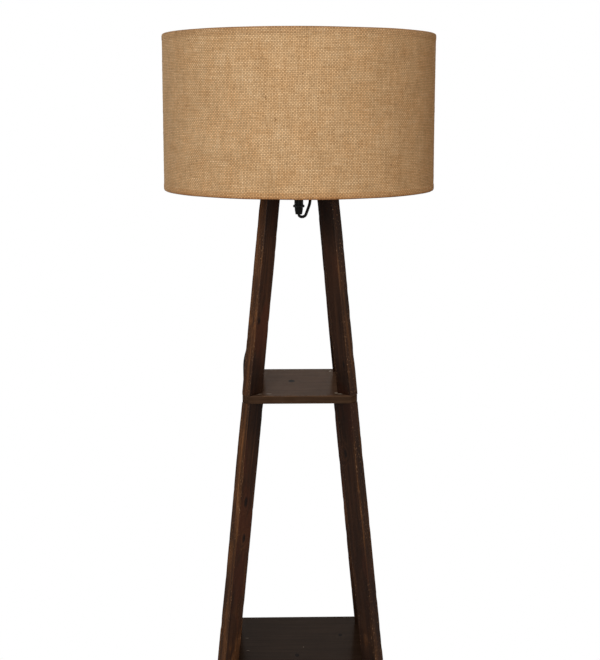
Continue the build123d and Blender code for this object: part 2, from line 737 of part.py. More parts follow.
with BuildPart() as switch_cover:
    with BuildSketch(Plane.XY.offset(parting)):
        with Locations(switch_centre):
            RectangleRounded(switch_length, switch_width, switch_corner)
    extrude(amount=switch_height - parting)
    fillet(switch_cover.faces().sort_by(Axis.Z)[-1].edges(), 2.5)
    with BuildSketch(Plane.XY.offset(parting)):
        with Locations(switch_centre):
            RectangleRounded(switch_length - 2 * switch_wall, switch_width - 2 * switch_wall,
                             switch_corner - switch_wall)
    extrude(amount=switch_height - parting - switch_wall, mode=Mode.SUBTRACT)
    with BuildSketch(Plane.XY.offset(parting)):
        with Locations(switch_centre):
            with GridLocations(switch_length - 18, 0, 2, 1):
                Circle(2.6)
                Circle(switch_screw_radius + screw_clearance, mode=Mode.SUBTRACT)
    extrude(amount=switch_height - parting - switch_wall / 2)
    ear_span = window_width + ear_thickness
    with Locations((switch_x, switch_y, switch_height - switch_wall / 2)):
        with GridLocations(0, ear_span, 1, 2):
            Box(5, ear_thickness, pivot_drop + 2.2 - switch_wall / 2,
                align=(Align.CENTER, Align.CENTER, Align.MAX))
    with BuildSketch(Plane.XZ.offset(-switch_y)):
        with Locations((switch_x, pivot_height)):
            Circle(pin_radius + pin_clearance)
    extrude(amount=ear_span, both=True, mode=Mode.SUBTRACT)
    with Locations((switch_x, switch_y, switch_height)):
        Box(window_length, window_width, 2 * switch_wall, mode=Mode.SUBTRACT)
finish(switch_cover.part, "switch_cover")

# the rocker's ends are arcs about its pin, so they clear the window at every tilt
rocker_reach = window_length / 2 - rocker_clearance
rocker_width = window_width - 2 * rocker_clearance
with BuildPart() as switch_rocker:
    with BuildSketch(Plane.XZ.offset(-switch_y)):
        with Locations((switch_x, pivot_height)):
            Circle(rocker_reach)
        with BuildLine():
            Polyline((switch_x - window_length, pivot_height - 1),
                     (switch_x + window_length, pivot_height - 1),
                     (switch_x + window_length, pivot_height + rocker_crown + rocker_dip),
                     (switch_x, pivot_height + rocker_crown),
                     (switch_x - window_length, pivot_height + rocker_crown + rocker_dip),
                     close=True)
        make_face(mode=Mode.INTERSECT)
        with Locations((switch_x, pivot_height)):
            Circle(2 * pin_radius)
            Circle(pin_radius + pin_clearance, mode=Mode.SUBTRACT)
    extrude(amount=rocker_width / 2, both=True)
pivot_axis = Axis((switch_x, switch_y, pivot_height), (0, 1, 0))
tilted_rocker = switch_rocker.part.rotate(pivot_axis, rocker_tilt)
finish(tilted_rocker, "switch_rocker")

with BuildPart() as rocker_pin:
    with BuildSketch(Plane.XZ.offset(-switch_y)):
        with Locations((switch_x, pivot_height)):
            Circle(pin_radius)
    extrude(amount=window_width / 2 + ear_thickness, both=True)
finish(rocker_pin.part, "rocker_pin")

with BuildPart() as switch_terminals:
    with Locations((switch_x, switch_y, switch_wall)):
        with GridLocations(24, 0, 2, 1):
            Box(terminal_length, terminal_width, terminal_height,
                align=(Align.CENTER, Align.CENTER, Align.MIN))
    with Locations((switch_x, switch_y, switch_wall + terminal_height)):
        with GridLocations(24, 0, 2, 1):
            Hole(1.4, depth=2)
finish(switch_terminals.part, "switch_terminals")

with BuildPart() as switch_screws:
    with Locations((switch_x, switch_y, 0.4)):
        with GridLocations(switch_length - 18, 0, 2, 1):
            Cylinder(switch_screw_radius, switch_height - switch_wall - 1.4,
                     align=(Align.CENTER, Align.CENTER, Align.MIN))
finish(switch_screws.part, "switch_screws")

with BuildPart() as switch_reliefs:
    for side in (-1, 1):
        wall_plane = Plane(origin=(switch_x + side * switch_end, switch_y, parting),
                           z_dir=(side, 0, 0))
        with BuildSketch(wall_plane):
            Circle(relief_root_radius)
        with BuildSketch(wall_plane.offset(relief_length)):
            Circle(relief_tip_radius)
        loft()
finish(switch_reliefs.part, "switch_reliefs")

# ---------------------------------------------------------------- free lead on the floor
floor = cord_radius
relief_tip_left = switch_x - switch_end - relief_length
relief_tip_right = switch_x + switch_end + relief_length
turn_top = coil_y + coil_radius + (coil_columns - 1) * cord_radius
first_route = [
    beside_board("foot_leg", lead_end_height), beside_board("foot_leg", lead_end_height - 20),
    (-147.6, 147.9, 26), (-153, 153.6, 11.5), (-163, 165, 3.4), (-173.5, 181.5, floor),
    (-177, 200.5, floor), (-167.5, 217.5, 3.2), (-151, switch_y, parting),
    (relief_tip_left, switch_y, parting),
]
second_route = [
    (relief_tip_right, switch_y, parting), (-23, switch_y, parting), (-8, 224.6, 3.4),
    (coil_x, turn_top, floor),
]
third_route = [
    (coil_x, turn_top, 3 * cord_radius), (28, 222.8, 4.8), (43, 220, 2.6), (57.5, 212.2, 3.6),
    (71, plug_y, plug_height), (plug_x, plug_y, plug_height),
]
free_length = make_lead(first_route, "lead_to_switch")
free_length += make_lead(second_route, "lead_to_coil")
free_length += make_lead(third_route, "lead_to_plug")
coil_length = 2 * pi * coil_radius * coil_columns * coil_layers
print("free cord", round(free_length + coil_length + switch_length + 2 * relief_length, 0))

bundle_width = 2 * cord_radius * coil_columns
bundle_height = 2 * cord_radius * coil_layers
with BuildPart() as cord_coil:
    with BuildSketch(Plane.XZ.offset(-coil_y)):
        with Locations((coil_x + coil_radius, bundle_height / 2)):
            RectangleRounded(bundle_width, bundle_height, coil_edge)
    revolve(axis=Axis((coil_x, coil_y, 0), (0, 0, 1)))
    with Locations((coil_x - coil_radius, coil_y, 0)):
        Box(bundle_width, tie_width + 2 * cord_clearance, tie_thickness + cord_clearance,
            align=(Align.CENTER, Align.CENTER, Align.MIN), mode=Mode.SUBTRACT)
finish(cord_coil.part, "cord_coil")

with BuildPart() as coil_tie:
    with BuildSketch(Plane.XZ.offset(-coil_y)):
        with Locations((coil_x - coil_radius, (bundle_height + tie_thickness) / 2)):
            RectangleRounded(bundle_width + 3 * tie_thickness, bundle_height + tie_thickness,
                             coil_edge + tie_thickness)
        with Locations((coil_x - coil_radius, (bundle_height + tie_thickness) / 2)):
            RectangleRounded(bundle_width + tie_thickness, bundle_height - tie_thickness,
                             tie_thickness, mode=Mode.SUBTRACT)
    extrude(amount=tie_width / 2, both=True)
finish(coil_tie.part, "coil_tie")

# ---------------------------------------------------------------- plug
body_start = plug_x + plug_relief_length
with BuildPart() as plug_relief:
    with BuildSketch(Plane(origin=(plug_x, plug_y, plug_height), z_dir=(1, 0, 0))):
        Circle(relief_tip_radius)
    with BuildSketch(Plane(origin=(body_start, plug_y, plug_height), z_dir=(1, 0, 0))):
        Circle(plug_rear_height / 2 - 0.4)
    loft()
finish(plug_relief.part, "plug_relief")

with BuildPart() as plug_body:
    sections = ((0, plug_rear_width, plug_rear_height), (0.45, plug_width * 0.78, plug_thickness * 0.94),
                (1, plug_width, plug_thickness))
    for share, width, height in sections:
        with BuildSketch(Plane(origin=(body_start + share * plug_body_length, plug_y, plug_height),
                               x_dir=(0, 1, 0), z_dir=(1, 0, 0))):
            RectangleRounded(width, height, height * 0.42)
    loft()
finish(plug_body.part, "plug_body")

face_x = body_start + plug_body_length
with BuildPart() as plug_pins:
    with BuildSketch(Plane(origin=(face_x, plug_y, plug_height), x_dir=(0, 1, 0), z_dir=(1, 0, 0))):
        with GridLocations(pin_spacing, 0, 2, 1):
            Circle(plug_sleeve_radius)
    extrude(amount=plug_sleeve_length)
    with BuildSketch(Plane(origin=(face_x + plug_sleeve_length, plug_y, plug_height),
                           x_dir=(0, 1, 0), z_dir=(1, 0, 0))):
        with GridLocations(pin_spacing, 0, 2, 1):
            Circle(plug_pin_radius)
    extrude(amount=plug_pin_length - plug_sleeve_length)
    fillet(plug_pins.faces().sort_by(Axis.X)[-2:].edges(), 1.2)
finish(plug_pins.part, "plug_pins")
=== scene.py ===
"""Shelf floor lamp: stained boards, jute drum shade and free lead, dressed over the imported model.

Metres, +Z up. The origin is on the floor, on the lamp's upright axis, and the front is -Y.
"""
from math import atan2, cos, pi, radians, sin, tau

import bmesh
import bpy
from mathutils import Matrix, Vector, noise


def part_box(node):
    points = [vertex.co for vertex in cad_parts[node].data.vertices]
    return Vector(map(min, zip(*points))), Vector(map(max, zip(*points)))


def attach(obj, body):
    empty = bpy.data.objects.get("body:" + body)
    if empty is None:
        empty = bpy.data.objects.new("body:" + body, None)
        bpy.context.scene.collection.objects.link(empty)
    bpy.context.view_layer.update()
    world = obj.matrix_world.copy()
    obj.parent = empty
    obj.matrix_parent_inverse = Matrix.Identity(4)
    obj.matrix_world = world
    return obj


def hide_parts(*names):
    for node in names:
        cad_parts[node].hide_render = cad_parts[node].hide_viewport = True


bl_info = {
    "name": "Shelf floor lamp",
    "version": (1, 0, 0),
    "blender": (4, 5, 0),
    "location": "View3D > Sidebar > Floor lamp",
    "description": "Builds the boards, jute shade, lead, finishes and studio of a floor lamp",
    "category": "Object",
}

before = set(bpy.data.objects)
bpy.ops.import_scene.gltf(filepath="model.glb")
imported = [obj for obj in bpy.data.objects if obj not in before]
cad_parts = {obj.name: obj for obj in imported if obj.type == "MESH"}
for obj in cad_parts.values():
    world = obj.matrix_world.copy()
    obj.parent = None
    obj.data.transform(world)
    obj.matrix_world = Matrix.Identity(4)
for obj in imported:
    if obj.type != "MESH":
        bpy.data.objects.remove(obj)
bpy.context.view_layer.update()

# direction of each corner of the frame, in degrees round the axis
diagonals = {"front_left": 225, "front_right": 315, "rear_left": 135, "rear_right": 45}
# each tier's foot height, foot reach, head height and head reach along the diagonal
tiers = {
    "upper_leg": (0.69, 0.1132, 0.984, 0.0736),
    "middle_leg": (0.242, 0.174, 0.678, 0.1132),
    "foot_leg": (0.004, 0.20719, 0.23, 0.174),
}
# each tier's boards: depth, thickness, and how far the front ones stand proud outwards
board_sections = {
    "upper_leg": (0.0275, 0.0165, 0.001),
    "middle_leg": (0.0295, 0.017, 0.0007),
    "foot_leg": (0.0295, 0.017, 0.0007),
}


def board_section(tier, angle):
    """Depth, thickness and outward step of one board; the rear ones have none, under the clips."""
    depth, thickness, proud = board_sections[tier]
    at_front = angle > 180
    return (depth, thickness, proud) if at_front else (depth - proud, thickness, 0.0)


# ---- shader nodes and maths
def as_socket(value):
    """The node socket inside a varying value, or the plain number itself."""
    return value.socket if isinstance(value, Varying) else value


def arithmetic(operation, swapped=False):
    """A method of Varying that adds one Math node."""

    def method(self, *others):
        values = (*others, self) if swapped else (self, *others)
        return self.tree.node("ShaderNodeMath", {"operation": operation}, dict(enumerate(values)))

    return method


class Varying:
    """A number or colour that varies over a surface. Arithmetic on it adds Math nodes."""

    def __init__(self, tree, socket):
        self.tree = tree
        self.socket = socket

    __add__ = __radd__ = arithmetic("ADD")
    __sub__ = arithmetic("SUBTRACT")
    __rsub__ = arithmetic("SUBTRACT", swapped=True)
    __mul__ = __rmul__ = arithmetic("MULTIPLY")
    __truediv__ = arithmetic("DIVIDE")
    __gt__ = arithmetic("GREATER_THAN")
    __abs__ = arithmetic("ABSOLUTE")
    sine = arithmetic("SINE")
    floor = arithmetic("FLOOR")
    fraction = arithmetic("FRACT")
    root = arithmetic("SQRT")
    swing = arithmetic("PINGPONG")
    at_least = arithmetic("MAXIMUM")
    at_most = arithmetic("MINIMUM")

    def step(self, low, high):
        """0 below low and 1 above high with a smooth rise between, or the fall if low is higher."""
        return self.tree.node("ShaderNodeMapRange", {"interpolation_type": "SMOOTHSTEP"}, {
            "Value": self, "From Min": min(low, high), "From Max": max(low, high),
            "To Min": float(low > high), "To Max": float(low < high)})


class Tree:
    """A node tree in the making."""

    def __init__(self, node_tree):
        self.nodes = node_tree.nodes
        self.links = node_tree.links

    def node(self, kind, settings=None, inputs=None, output=0):
        """Add one node: its settings first, then the values or links of its sockets."""
        node = self.nodes.new(kind)
        for name, value in (settings or {}).items():
            if name == "stops":
                ramp = node.color_ramp
                while len(ramp.elements) < len(value):
                    ramp.elements.new(1.0)
                for element, (position, colour) in zip(ramp.elements, value):
                    element.position = position
                    element.color = (*colour, 1.0)
            else:
                setattr(node, name, value)
        for name, value in (inputs or {}).items():
            socket = as_socket(value)
            if isinstance(socket, bpy.types.NodeSocket):
                self.links.new(socket, node.inputs[name])
            else:
                node.inputs[name].default_value = socket
        return Varying(self, node.outputs[output]) if node.outputs else None


class Finish(Tree):
    """A material in the making, with its principled shader."""

    def __init__(self, name, **uniform):
        self.material = bpy.data.materials.new(name)
        self.material.use_nodes = True
        super().__init__(self.material.node_tree)
        self.shader = self.nodes["Principled BSDF"]
        for socket, value in uniform.items():
            self.shader.inputs[socket.replace("_", " ")].default_value = value

    def feed(self, **sockets):
        """Link varying values to the shader's own sockets."""
        for name, value in sockets.items():
            self.links.new(as_socket(value), self.shader.inputs[name.replace("_", " ")])
        return self

    def place(self, turn=0.0):
        """Object coordinates, turned about the upright axis."""
        where = self.node("ShaderNodeTexCoord", output="Object")
        if turn:
            where = self.node("ShaderNodeMapping", {}, {"Vector": where, "Rotation": (0, 0, turn)})
        return where

    def facing(self, direction):
        """How far a face looks along a direction, from -1 to 1."""
        normal = self.node("ShaderNodeTexCoord", output="Normal")
        return self.node("ShaderNodeVectorMath", {"operation": "DOT_PRODUCT"},
                         {0: normal, 1: direction}, output="Value")

    def parts(self, vector):
        """The three numbers of a vector."""
        return [self.node("ShaderNodeSeparateXYZ", {}, {"Vector": vector}, output=axis)
                for axis in ("X", "Y", "Z")]

    def vector(self, x, y, z):
        """One vector of three numbers."""
        return self.node("ShaderNodeCombineXYZ", {}, {"X": x, "Y": y, "Z": z})

    def cloud(self, vector, scale=1.0, detail=2.0, roughness=0.5, distortion=0.0):
        """Soft noise from about 0 to 1."""
        return self.node("ShaderNodeTexNoise", {}, {
            "Vector": vector, "Scale": scale, "Detail": detail, "Roughness": roughness,
            "Distortion": distortion}, output="Fac")

    def cloud_at(self, x, y, z, **looks):
        """Soft noise over three numbers."""
        return self.cloud(self.vector(x, y, z), **looks)

    def stretched(self, axes, scales, shifts=(0, 0, 0), **looks):
        """Soft noise over three coordinates, each with its own scale and shift."""
        return self.cloud_at(*(axis * scale + shift if shift else axis * scale
                               for axis, scale, shift in zip(axes, scales, shifts)), **looks)

    def cells(self, vector, scale):
        """Distance to the nearest of scattered points."""
        return self.node("ShaderNodeTexVoronoi", {}, {"Vector": vector, "Scale": scale},
                         output="Distance")

    def ramp(self, value, *stops):
        """A colour for each value, from (value, colour) stops."""
        return self.node("ShaderNodeValToRGB", {"stops": stops}, {"Fac": value})

    def two_tone(self, value, low, high):
        """From one colour to another over the middle of the noise's span."""
        return self.ramp(value, (0.3, low), (0.7, high))

    def blend(self, share, first, second, kind="MIX"):
        """Mix two colours."""
        colours = [value if isinstance(value, Varying) else (*value, 1.0)
                   for value in (first, second)]
        return self.node("ShaderNodeMix", {"data_type": "RGBA", "blend_type": kind},
                         {0: share, 6: colours[0], 7: colours[1]}, output=2)

    def shade_by(self, colour, value):
        """A colour made lighter or darker by a number."""
        return self.blend(1.0, colour, self.vector(value, value, value), "MULTIPLY")

    def either(self, choice, yes, no):
        """The first number where choice is 1 and the second where it is 0."""
        return self.node("ShaderNodeMix", {"data_type": "FLOAT"}, {0: choice, 2: no, 3: yes})

    def bump(self, height, distance, strength):
        """Raise the surface by a height of 0 to 1, in metres of distance."""
        return self.node("ShaderNodeBump", {},
                         {"Height": height, "Distance": distance, "Strength": strength})


# ---- finishes
def give(finish, *names):
    """Put a finish on CAD nodes."""
    for name in names:
        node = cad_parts[name]
        if not node.material_slots:
            node.data.materials.append(finish.material)
        for slot in node.material_slots:
            slot.material = finish.material


def distance_to(coordinates, point, stretch):
    """Distance from a point, measured in coordinates that are stretched along some axes."""
    squares = 0.0
    for axis, middle, scale in zip(coordinates, point, stretch):
        gap = (axis - middle) * scale
        squares = gap * gap + squares
    return squares.root()


def knots_in(coordinates, knots, stretch, spread, core_share):
    """How far knots push the grain aside, and where their dark cores are."""
    swirl = core = 0.0
    for *middle, size in knots:
        reach = distance_to(coordinates, middle, stretch)
        swirl = reach.step(size * spread, 0.0) + swirl
        core = reach.step(size, size * core_share).at_least(core)
    return swirl, core


def stained_board(name, tier, angle, tone, worn, knots, seed):
    """Sawn wood under a dark walnut stain, rubbed back to brown on its outer edge and arrises."""
    finish = Finish(name, Specular_IOR_Level=0.0, Coat_Weight=0.18, Coat_Roughness=0.38)
    low, low_reach, high, high_reach = tiers[tier]
    board_depth, board_thickness, proud = board_section(tier, angle)
    lean = (high_reach - low_reach) / (high - low)
    outward, across, up = finish.parts(finish.place(turn=-radians(angle)))
    # 0 at the outer edge, inwards negative
    depth = outward - up * lean - (low_reach - low * lean + proud)
    where = (depth, across, up)

    swirl, knot_core = knots_in((depth, up), knots, (1.0, 0.45), 2.6, 0.35)
    wander = finish.stretched(where, (22, 22, 2.6), (seed, 0, 0), detail=3.0)
    figure = finish.stretched(where, (34, 30, 1.5), (0, seed, 0), distortion=0.25)
    rings = ((figure + swirl * 0.3) * 15.0 + wander * 2.0).swing(1.0)
    fibre = finish.stretched(where, (1500, 1500, 32), (0, seed, 0), detail=3.0, roughness=0.7)
    coarse = finish.stretched(where, (420, 420, 9), (seed, 0, 0), detail=3.0, roughness=0.6)
    pores = finish.stretched(where, (2600, 2600, 60), (0, 0, seed), detail=1.0).step(0.6, 0.72)
    blotch = finish.stretched(where, (26, 26, 9), (seed, 0, 0), detail=4.0)
    rub = finish.stretched(where, (60, 60, 16), (0, seed, 0), detail=4.0, roughness=0.65)

    grain = rings * 0.15 + coarse * 0.45 + fibre * 0.4
    dark = finish.ramp(grain, (0.25, (0.012, 0.0058, 0.0036)), (0.47, (0.029, 0.0135, 0.008)),
                       (0.6, (0.046, 0.021, 0.0118)), (0.8, (0.072, 0.033, 0.017)))
    brown = finish.ramp(grain, (0.32, (0.018, 0.008, 0.004)), (0.44, (0.06, 0.0265, 0.011)),
                        (0.56, (0.128, 0.055, 0.0205)), (0.7, (0.29, 0.132, 0.052)))
    # red bleeds through where the stain went on thin
    bleed = finish.stretched(where, (30, 30, 11), (seed, 0, 0), detail=4.0, roughness=0.62)
    dark = finish.blend(bleed.step(0.5, 0.66) * 0.75, dark, (0.06, 0.0205, 0.011))

    # the stain is thin on the outer edge, on the arrises and low down where hands and feet rub
    angle_out = radians(angle)
    edge_face = finish.facing((cos(angle_out), sin(angle_out), 0.0)).step(0.35, 0.85)
    corner_depth = board_depth / 2 - abs(depth + board_depth / 2)
    corner_across = board_thickness / 2 - abs(across)
    corner = (corner_depth * corner_depth + corner_across * corner_across).root()
    arris = corner.step(0.0032, 0.0004) * rub.step(0.42, 0.66)
    patches = (blotch * 0.55 + rub * 0.45).step(0.36, 0.6)
    handled = up.step(0.6, 0.28) * rub.step(0.44, 0.6) * (blotch.step(0.42, 0.58) * 0.6)
    share = (edge_face * (0.3 + patches * 0.7) * worn + arris * 0.75 + handled).at_most(1.0)
    colour = finish.blend(share, dark, brown)
    # painted shadow: darker where a board meets a shelf or the plate, under the shelves and the
    # shade, less on its outer edge
    joint_shadow = up.step(low + 0.075, low + 0.012).at_least(up.step(high - 0.085, high - 0.025))
    joint_shadow = joint_shadow * (1.0 - edge_face * 0.75) * (0.3 + rub * 0.45)
    colour = finish.shade_by(colour, (0.62 + blotch * 0.75) * tone * (1.0 - joint_shadow))
    colour = finish.shade_by(colour, 1.0 - pores * 0.45)
    # pale flecks of bare wood, close together along the arrises
    flecks = finish.stretched(where, (560, 560, 330), (0, seed, 0)).step(0.6, 0.7)
    bare = corner.step(0.006, 0.0006) * 0.7 + edge_face * 0.85 + handled + 0.06
    flecks = (flecks * bare * rub.step(0.36, 0.58)).at_most(1.0)
    colour = finish.blend(flecks * 0.9, colour, (0.255, 0.15, 0.085))
    colour = finish.blend(knot_core * 0.9, colour, (0.0065, 0.0042, 0.0035))
    relief = fibre * 0.45 + coarse * 0.45 - pores * 0.35 + rings * 0.15
    return finish.feed(Base_Color=colour,
                       Roughness=0.5 + fibre * 0.22 + share * 0.12 - blotch * 0.08,
                       Normal=finish.bump(relief, 0.00035, 0.55))


def stained_panel(name, half, tone, knots, scratches_and_glints, seed):
    """Flat board with a satin stain, its grain running from side to side, with sawn edges."""
    finish = Finish(name, Specular_IOR_Level=0.0, Coat_Weight=0.03, Coat_Roughness=0.22)
    across, back, _ = where = finish.parts(finish.place())

    swirl, knot_core = knots_in((across, back), knots, (1.3, 0.8), 3.2, 0.55)
    wander = finish.stretched(where, (2.2, 17, 17), (0, seed, 0), detail=3.0)
    figure = finish.stretched(where, (1.2, 13, 13), (seed, 0, 0))
    rings = ((figure + swirl * 0.16) * 22.0 + wander * 3.0).swing(1.0)
    fibre = finish.stretched(where, (22, 1300, 1300), (0, seed, 0), detail=3.0, roughness=0.7)
    coarse = finish.stretched(where, (7, 300, 300), (seed, 0, 0), detail=3.0)
    blotch = finish.stretched(where, (14, 18, 18), (0, seed, 0), detail=4.0)
    rub = finish.stretched(where, (60, 60, 60), (0, seed, 0), detail=4.0)

    grain = rings * 0.08 + coarse * 0.47 + fibre * 0.45
    stain = finish.ramp(grain, (0.22, (0.034, 0.0205, 0.014)), (0.45, (0.054, 0.0325, 0.022)),
                        (0.62, (0.07, 0.043, 0.029)), (0.85, (0.098, 0.06, 0.04)))
    brown = finish.ramp(grain, (0.25, (0.017, 0.0095, 0.0055)), (0.5, (0.042, 0.023, 0.012)),
                        (0.8, (0.09, 0.05, 0.025)))
    stain = finish.shade_by(stain, (0.7 + blotch * 0.6) * tone)
    brown = finish.shade_by(brown, 0.66 + blotch * 0.5)
    level = abs(finish.facing((0.0, 0.0, 1.0)))
    flat = level.step(0.35, 0.9)
    edge_gap = (half - abs(across)).at_most(half - abs(back))
    arris = edge_gap.step(0.0036, 0.0006) * rub.step(0.42, 0.6) * flat
    low_arris = level.step(0.9, 0.35) * grain.step(0.44, 0.62)
    colour = finish.blend((1.0 - flat) * (0.45 + rub * 0.5), stain, brown)
    colour = finish.blend(arris * 0.55 + low_arris * 0.1, colour, (0.15, 0.082, 0.045))
    colour = finish.blend(knot_core, colour, (0.0075, 0.0042, 0.0032))
    # pale scratches and painted glints, each as its middle and its two half lengths
    for mark_across, mark_back, reach_across, reach_back in scratches_and_glints:
        reach = distance_to((across, back), (mark_across, mark_back),
                            (0.002 / reach_across, 0.002 / reach_back))
        ragged = reach + (fibre - 0.5) * 0.0012
        colour = finish.blend(ragged.step(0.0022, 0.0012) * flat * 0.8, colour, (0.34, 0.3, 0.26))
    return finish.feed(Base_Color=colour, Roughness=0.32 + fibre * 0.16 + (1.0 - flat) * 0.15,
                       Normal=finish.bump(fibre * 0.5 + coarse * 0.5 + rings * 0.1, 0.00022, 0.45))


def woven_jute(thread_pitch):
    """Natural jute in plain weave, with uneven threads; its UV map is in metres."""
    finish = Finish("natural_jute", Specular_IOR_Level=0.12, Sheen_Weight=0.18,
                    Sheen_Roughness=0.55, Sheen_Tint=(1.0, 0.86, 0.62, 1.0), Roughness=0.9)
    along, up, _ = finish.parts(finish.node("ShaderNodeUVMap", {"uv_map": "cloth"}))
    cloud_at = finish.cloud_at
    # threads wander a little, so the mesh of holes isn't a ruled grid
    drift_up = cloud_at(along * 9, up * 26, 0.0) - 0.5
    drift_along = cloud_at(along * 24, up * 8, 5.0) - 0.5
    weft = (up + drift_up * 0.0034 + along * 0.01) / thread_pitch
    warp = (along + drift_along * 0.0034 + up * 0.035) / thread_pitch
    weft_row = weft.floor()
    warp_row = warp.floor()
    weft_crown = (weft.fraction() * pi).sine()
    warp_crown = (warp.fraction() * pi).sine()
    over = ((weft_row + warp_row) * 0.5).fraction() > 0.25
    weft_lift = weft_crown * (0.3 + 0.7 * (warp_crown * over))
    warp_lift = warp_crown * (0.3 + 0.7 * (weft_crown * (1.0 - over)))
    height = weft_lift.at_least(warp_lift)
    # each thread has its own colour and thickness along its run
    weft_tone = cloud_at(along * 16, weft_row * 7.31, 2.0, detail=3.0, roughness=0.62)
    warp_tone = cloud_at(warp_row * 5.77, up * 20, 9.0, detail=3.0, roughness=0.62)
    weft_slub = cloud_at(along * 62, weft_row * 3.17, 4.0)
    warp_slub = cloud_at(warp_row * 9.13, up * 70, 7.0)
    haze = cloud_at(along * 26, up * 20, 3.0, detail=4.0, roughness=0.6)
    fuzz = cloud_at(along * 1100, up * 1100, 1.0, roughness=0.7)
    tone = finish.either(over, weft_tone, warp_tone) * 0.5 + (weft_tone + warp_tone) * 0.25
    slub = finish.either(over, weft_slub, warp_slub)
    crossing = cloud_at(warp_row * 5.31, weft_row * 7.77, 3.0, detail=1.0)
    colour = finish.ramp(tone * 0.42 + haze * 0.24 + slub * 0.34,
                         (0.3, (0.45, 0.258, 0.116)), (0.43, (0.622, 0.401, 0.205)),
                         (0.53, (0.748, 0.512, 0.284)), (0.7, (0.905, 0.69, 0.435)))
    warmth = cloud_at(along * 34, up * 30, 12.0).step(0.4, 0.62)
    colour = finish.blend(warmth * 0.4, colour, (1.03, 0.95, 0.86), "MULTIPLY")
    # fibres twisted into each thread show as fine slanting lines
    weft_strand = cloud_at(along * 420 + up * 900, up * 2600, 1.5)
    warp_strand = cloud_at(along * 2600, up * 420 + along * 900, 8.5)
    strand = finish.either(over, weft_strand, warp_strand)
    # painted light and shade of the weave: the holes between threads are darkened, and threads
    # lying on top are lighter than those beneath
    gap_shade = (height + (strand - 0.5) * 0.5).step(0.52, 0.06)
    lit = finish.either(over, 1.16, 0.85) * (0.42 + crossing * 0.52 + fuzz * 0.12 + strand * 0.48)
    colour = finish.shade_by(colour, (1.0 - gap_shade * 0.64) * lit)
    # the hems are darker, and where the jute turns round the wires and tucks inside is painted
    # shade, most of all under the lower wire
    ragged = up + (haze - 0.5) * 0.0012
    for clear_at, dark_at, tint in ((0.9998, 0.999, (0.92, 0.85, 0.78)),
                                    (0.995, 0.9928, (0.88, 0.78, 0.7)),
                                    (0.9922, 0.9908, (0.52, 0.42, 0.36)),
                                    (1.2096, 1.2104, (0.9, 0.87, 0.85)),
                                    (1.2162, 1.218, (0.8, 0.7, 0.64))):
        colour = finish.blend(ragged.step(clear_at, dark_at), colour, tint, "MULTIPLY")
    # stray brown and pale fibres spun into single threads
    fleck = cloud_at(along * 150, weft_row * 13.7, 0.0, detail=1.0)
    colour = finish.blend(fleck.step(0.725, 0.79) * 0.6, colour, (0.15, 0.07, 0.028))
    pale = cloud_at(along * 60, weft_row * 17.9, 6.0, detail=1.0)
    colour = finish.blend(pale.step(0.69, 0.78) * 0.3, colour, (0.8, 0.6, 0.38))
    relief = height * 0.8 + slub * 0.3 + strand * 0.35
    return finish.feed(Base_Color=colour, Normal=finish.bump(relief, 0.00045, 0.6))


def moulded_black(name, base=0.011, rough=0.42, grain_size=1400.0, depth=0.00004):
    """Black moulded plastic with a fine spark-eroded grain and a trace of dust and handling."""
    finish = Finish(name, Specular_IOR_Level=0.09)
    where = finish.place()
    grain = finish.cloud(where, grain_size)
    smear = finish.cloud(where, 46.0, detail=4.0)
    dust = finish.cloud(where, 210.0, detail=3.0).step(0.55, 0.8)
    colour = finish.blend(dust * 0.25, (base, base, base * 1.02),
                          (base * 2.4, base * 2.3, base * 2.2))
    return finish.feed(Base_Color=finish.shade_by(colour, 0.85 + smear * 0.3),
                       Roughness=rough + smear * 0.16 + grain * 0.06 - 0.1,
                       Normal=finish.bump(grain, depth, 0.6))


def zinc_plate():
    """Yellowish bright zinc with fine turning marks and dull spots."""
    finish = Finish("zinc_plate", Metallic=1.0)
    where = finish.place()
    turning = finish.stretched(finish.parts(where), (30, 30, 4200))
    cloud = finish.cloud(where, 160.0, detail=4.0)
    spots = finish.cells(where, 700.0).step(0.24, 0.05)
    colour = finish.two_tone(cloud, (0.43, 0.4, 0.33), (0.62, 0.6, 0.54))
    return finish.feed(Base_Color=finish.blend(spots * 0.4, colour, (0.22, 0.19, 0.15)),
                       Roughness=0.24 + cloud * 0.22 + spots * 0.2,
                       Normal=finish.bump(turning, 0.00003, 0.5))


def stamped_metal(name, light, dark, rough=0.26):
    """Thin stamped sheet with drawing lines, a little tarnished."""
    finish = Finish(name, Metallic=1.0)
    where = finish.place()
    lines = finish.stretched(finish.parts(where), (700, 700, 60), detail=3.0)
    tarnish = finish.cloud(where, 190.0, detail=4.0)
    return finish.feed(Base_Color=finish.blend(tarnish.step(0.4, 0.75), light, dark),
                       Roughness=rough + tarnish * 0.22, Normal=finish.bump(lines, 0.00002, 0.5))


def drifting_finish(name, scale, low, high, rough, relief, spots=None, **uniform):
    """Colour, roughness and height that drift with one soft noise, with or without small spots."""
    finish = Finish(name, **uniform)
    where = finish.place()
    cloud = height = finish.cloud(where, scale, detail=3.0)
    colour = finish.two_tone(cloud, low, high)
    if spots:
        spot_scale, rim, core, share, tint, pit = spots
        spot = finish.cells(where, spot_scale).step(rim, core)
        colour = finish.blend(spot * share, colour, tint)
        height = cloud - spot * pit
    return finish.feed(Base_Color=colour, Roughness=cloud * rough[1] + rough[0],
                       Normal=finish.bump(height, relief, 0.5))


def shade_liner():
    """Matt white plastic sheet that the jute is glued to."""
    finish = Finish("shade_liner", Specular_IOR_Level=0.3)
    where = finish.place()
    wave = finish.cloud(where, 14.0, detail=3.0)
    grain = finish.cloud(where, 480.0)
    return finish.feed(Base_Color=finish.two_tone(wave, (0.72, 0.68, 0.6), (0.82, 0.79, 0.72)),
                       Roughness=0.62 + grain * 0.15,
                       Normal=finish.bump(grain + wave * 2.0, 0.0001, 0.4))


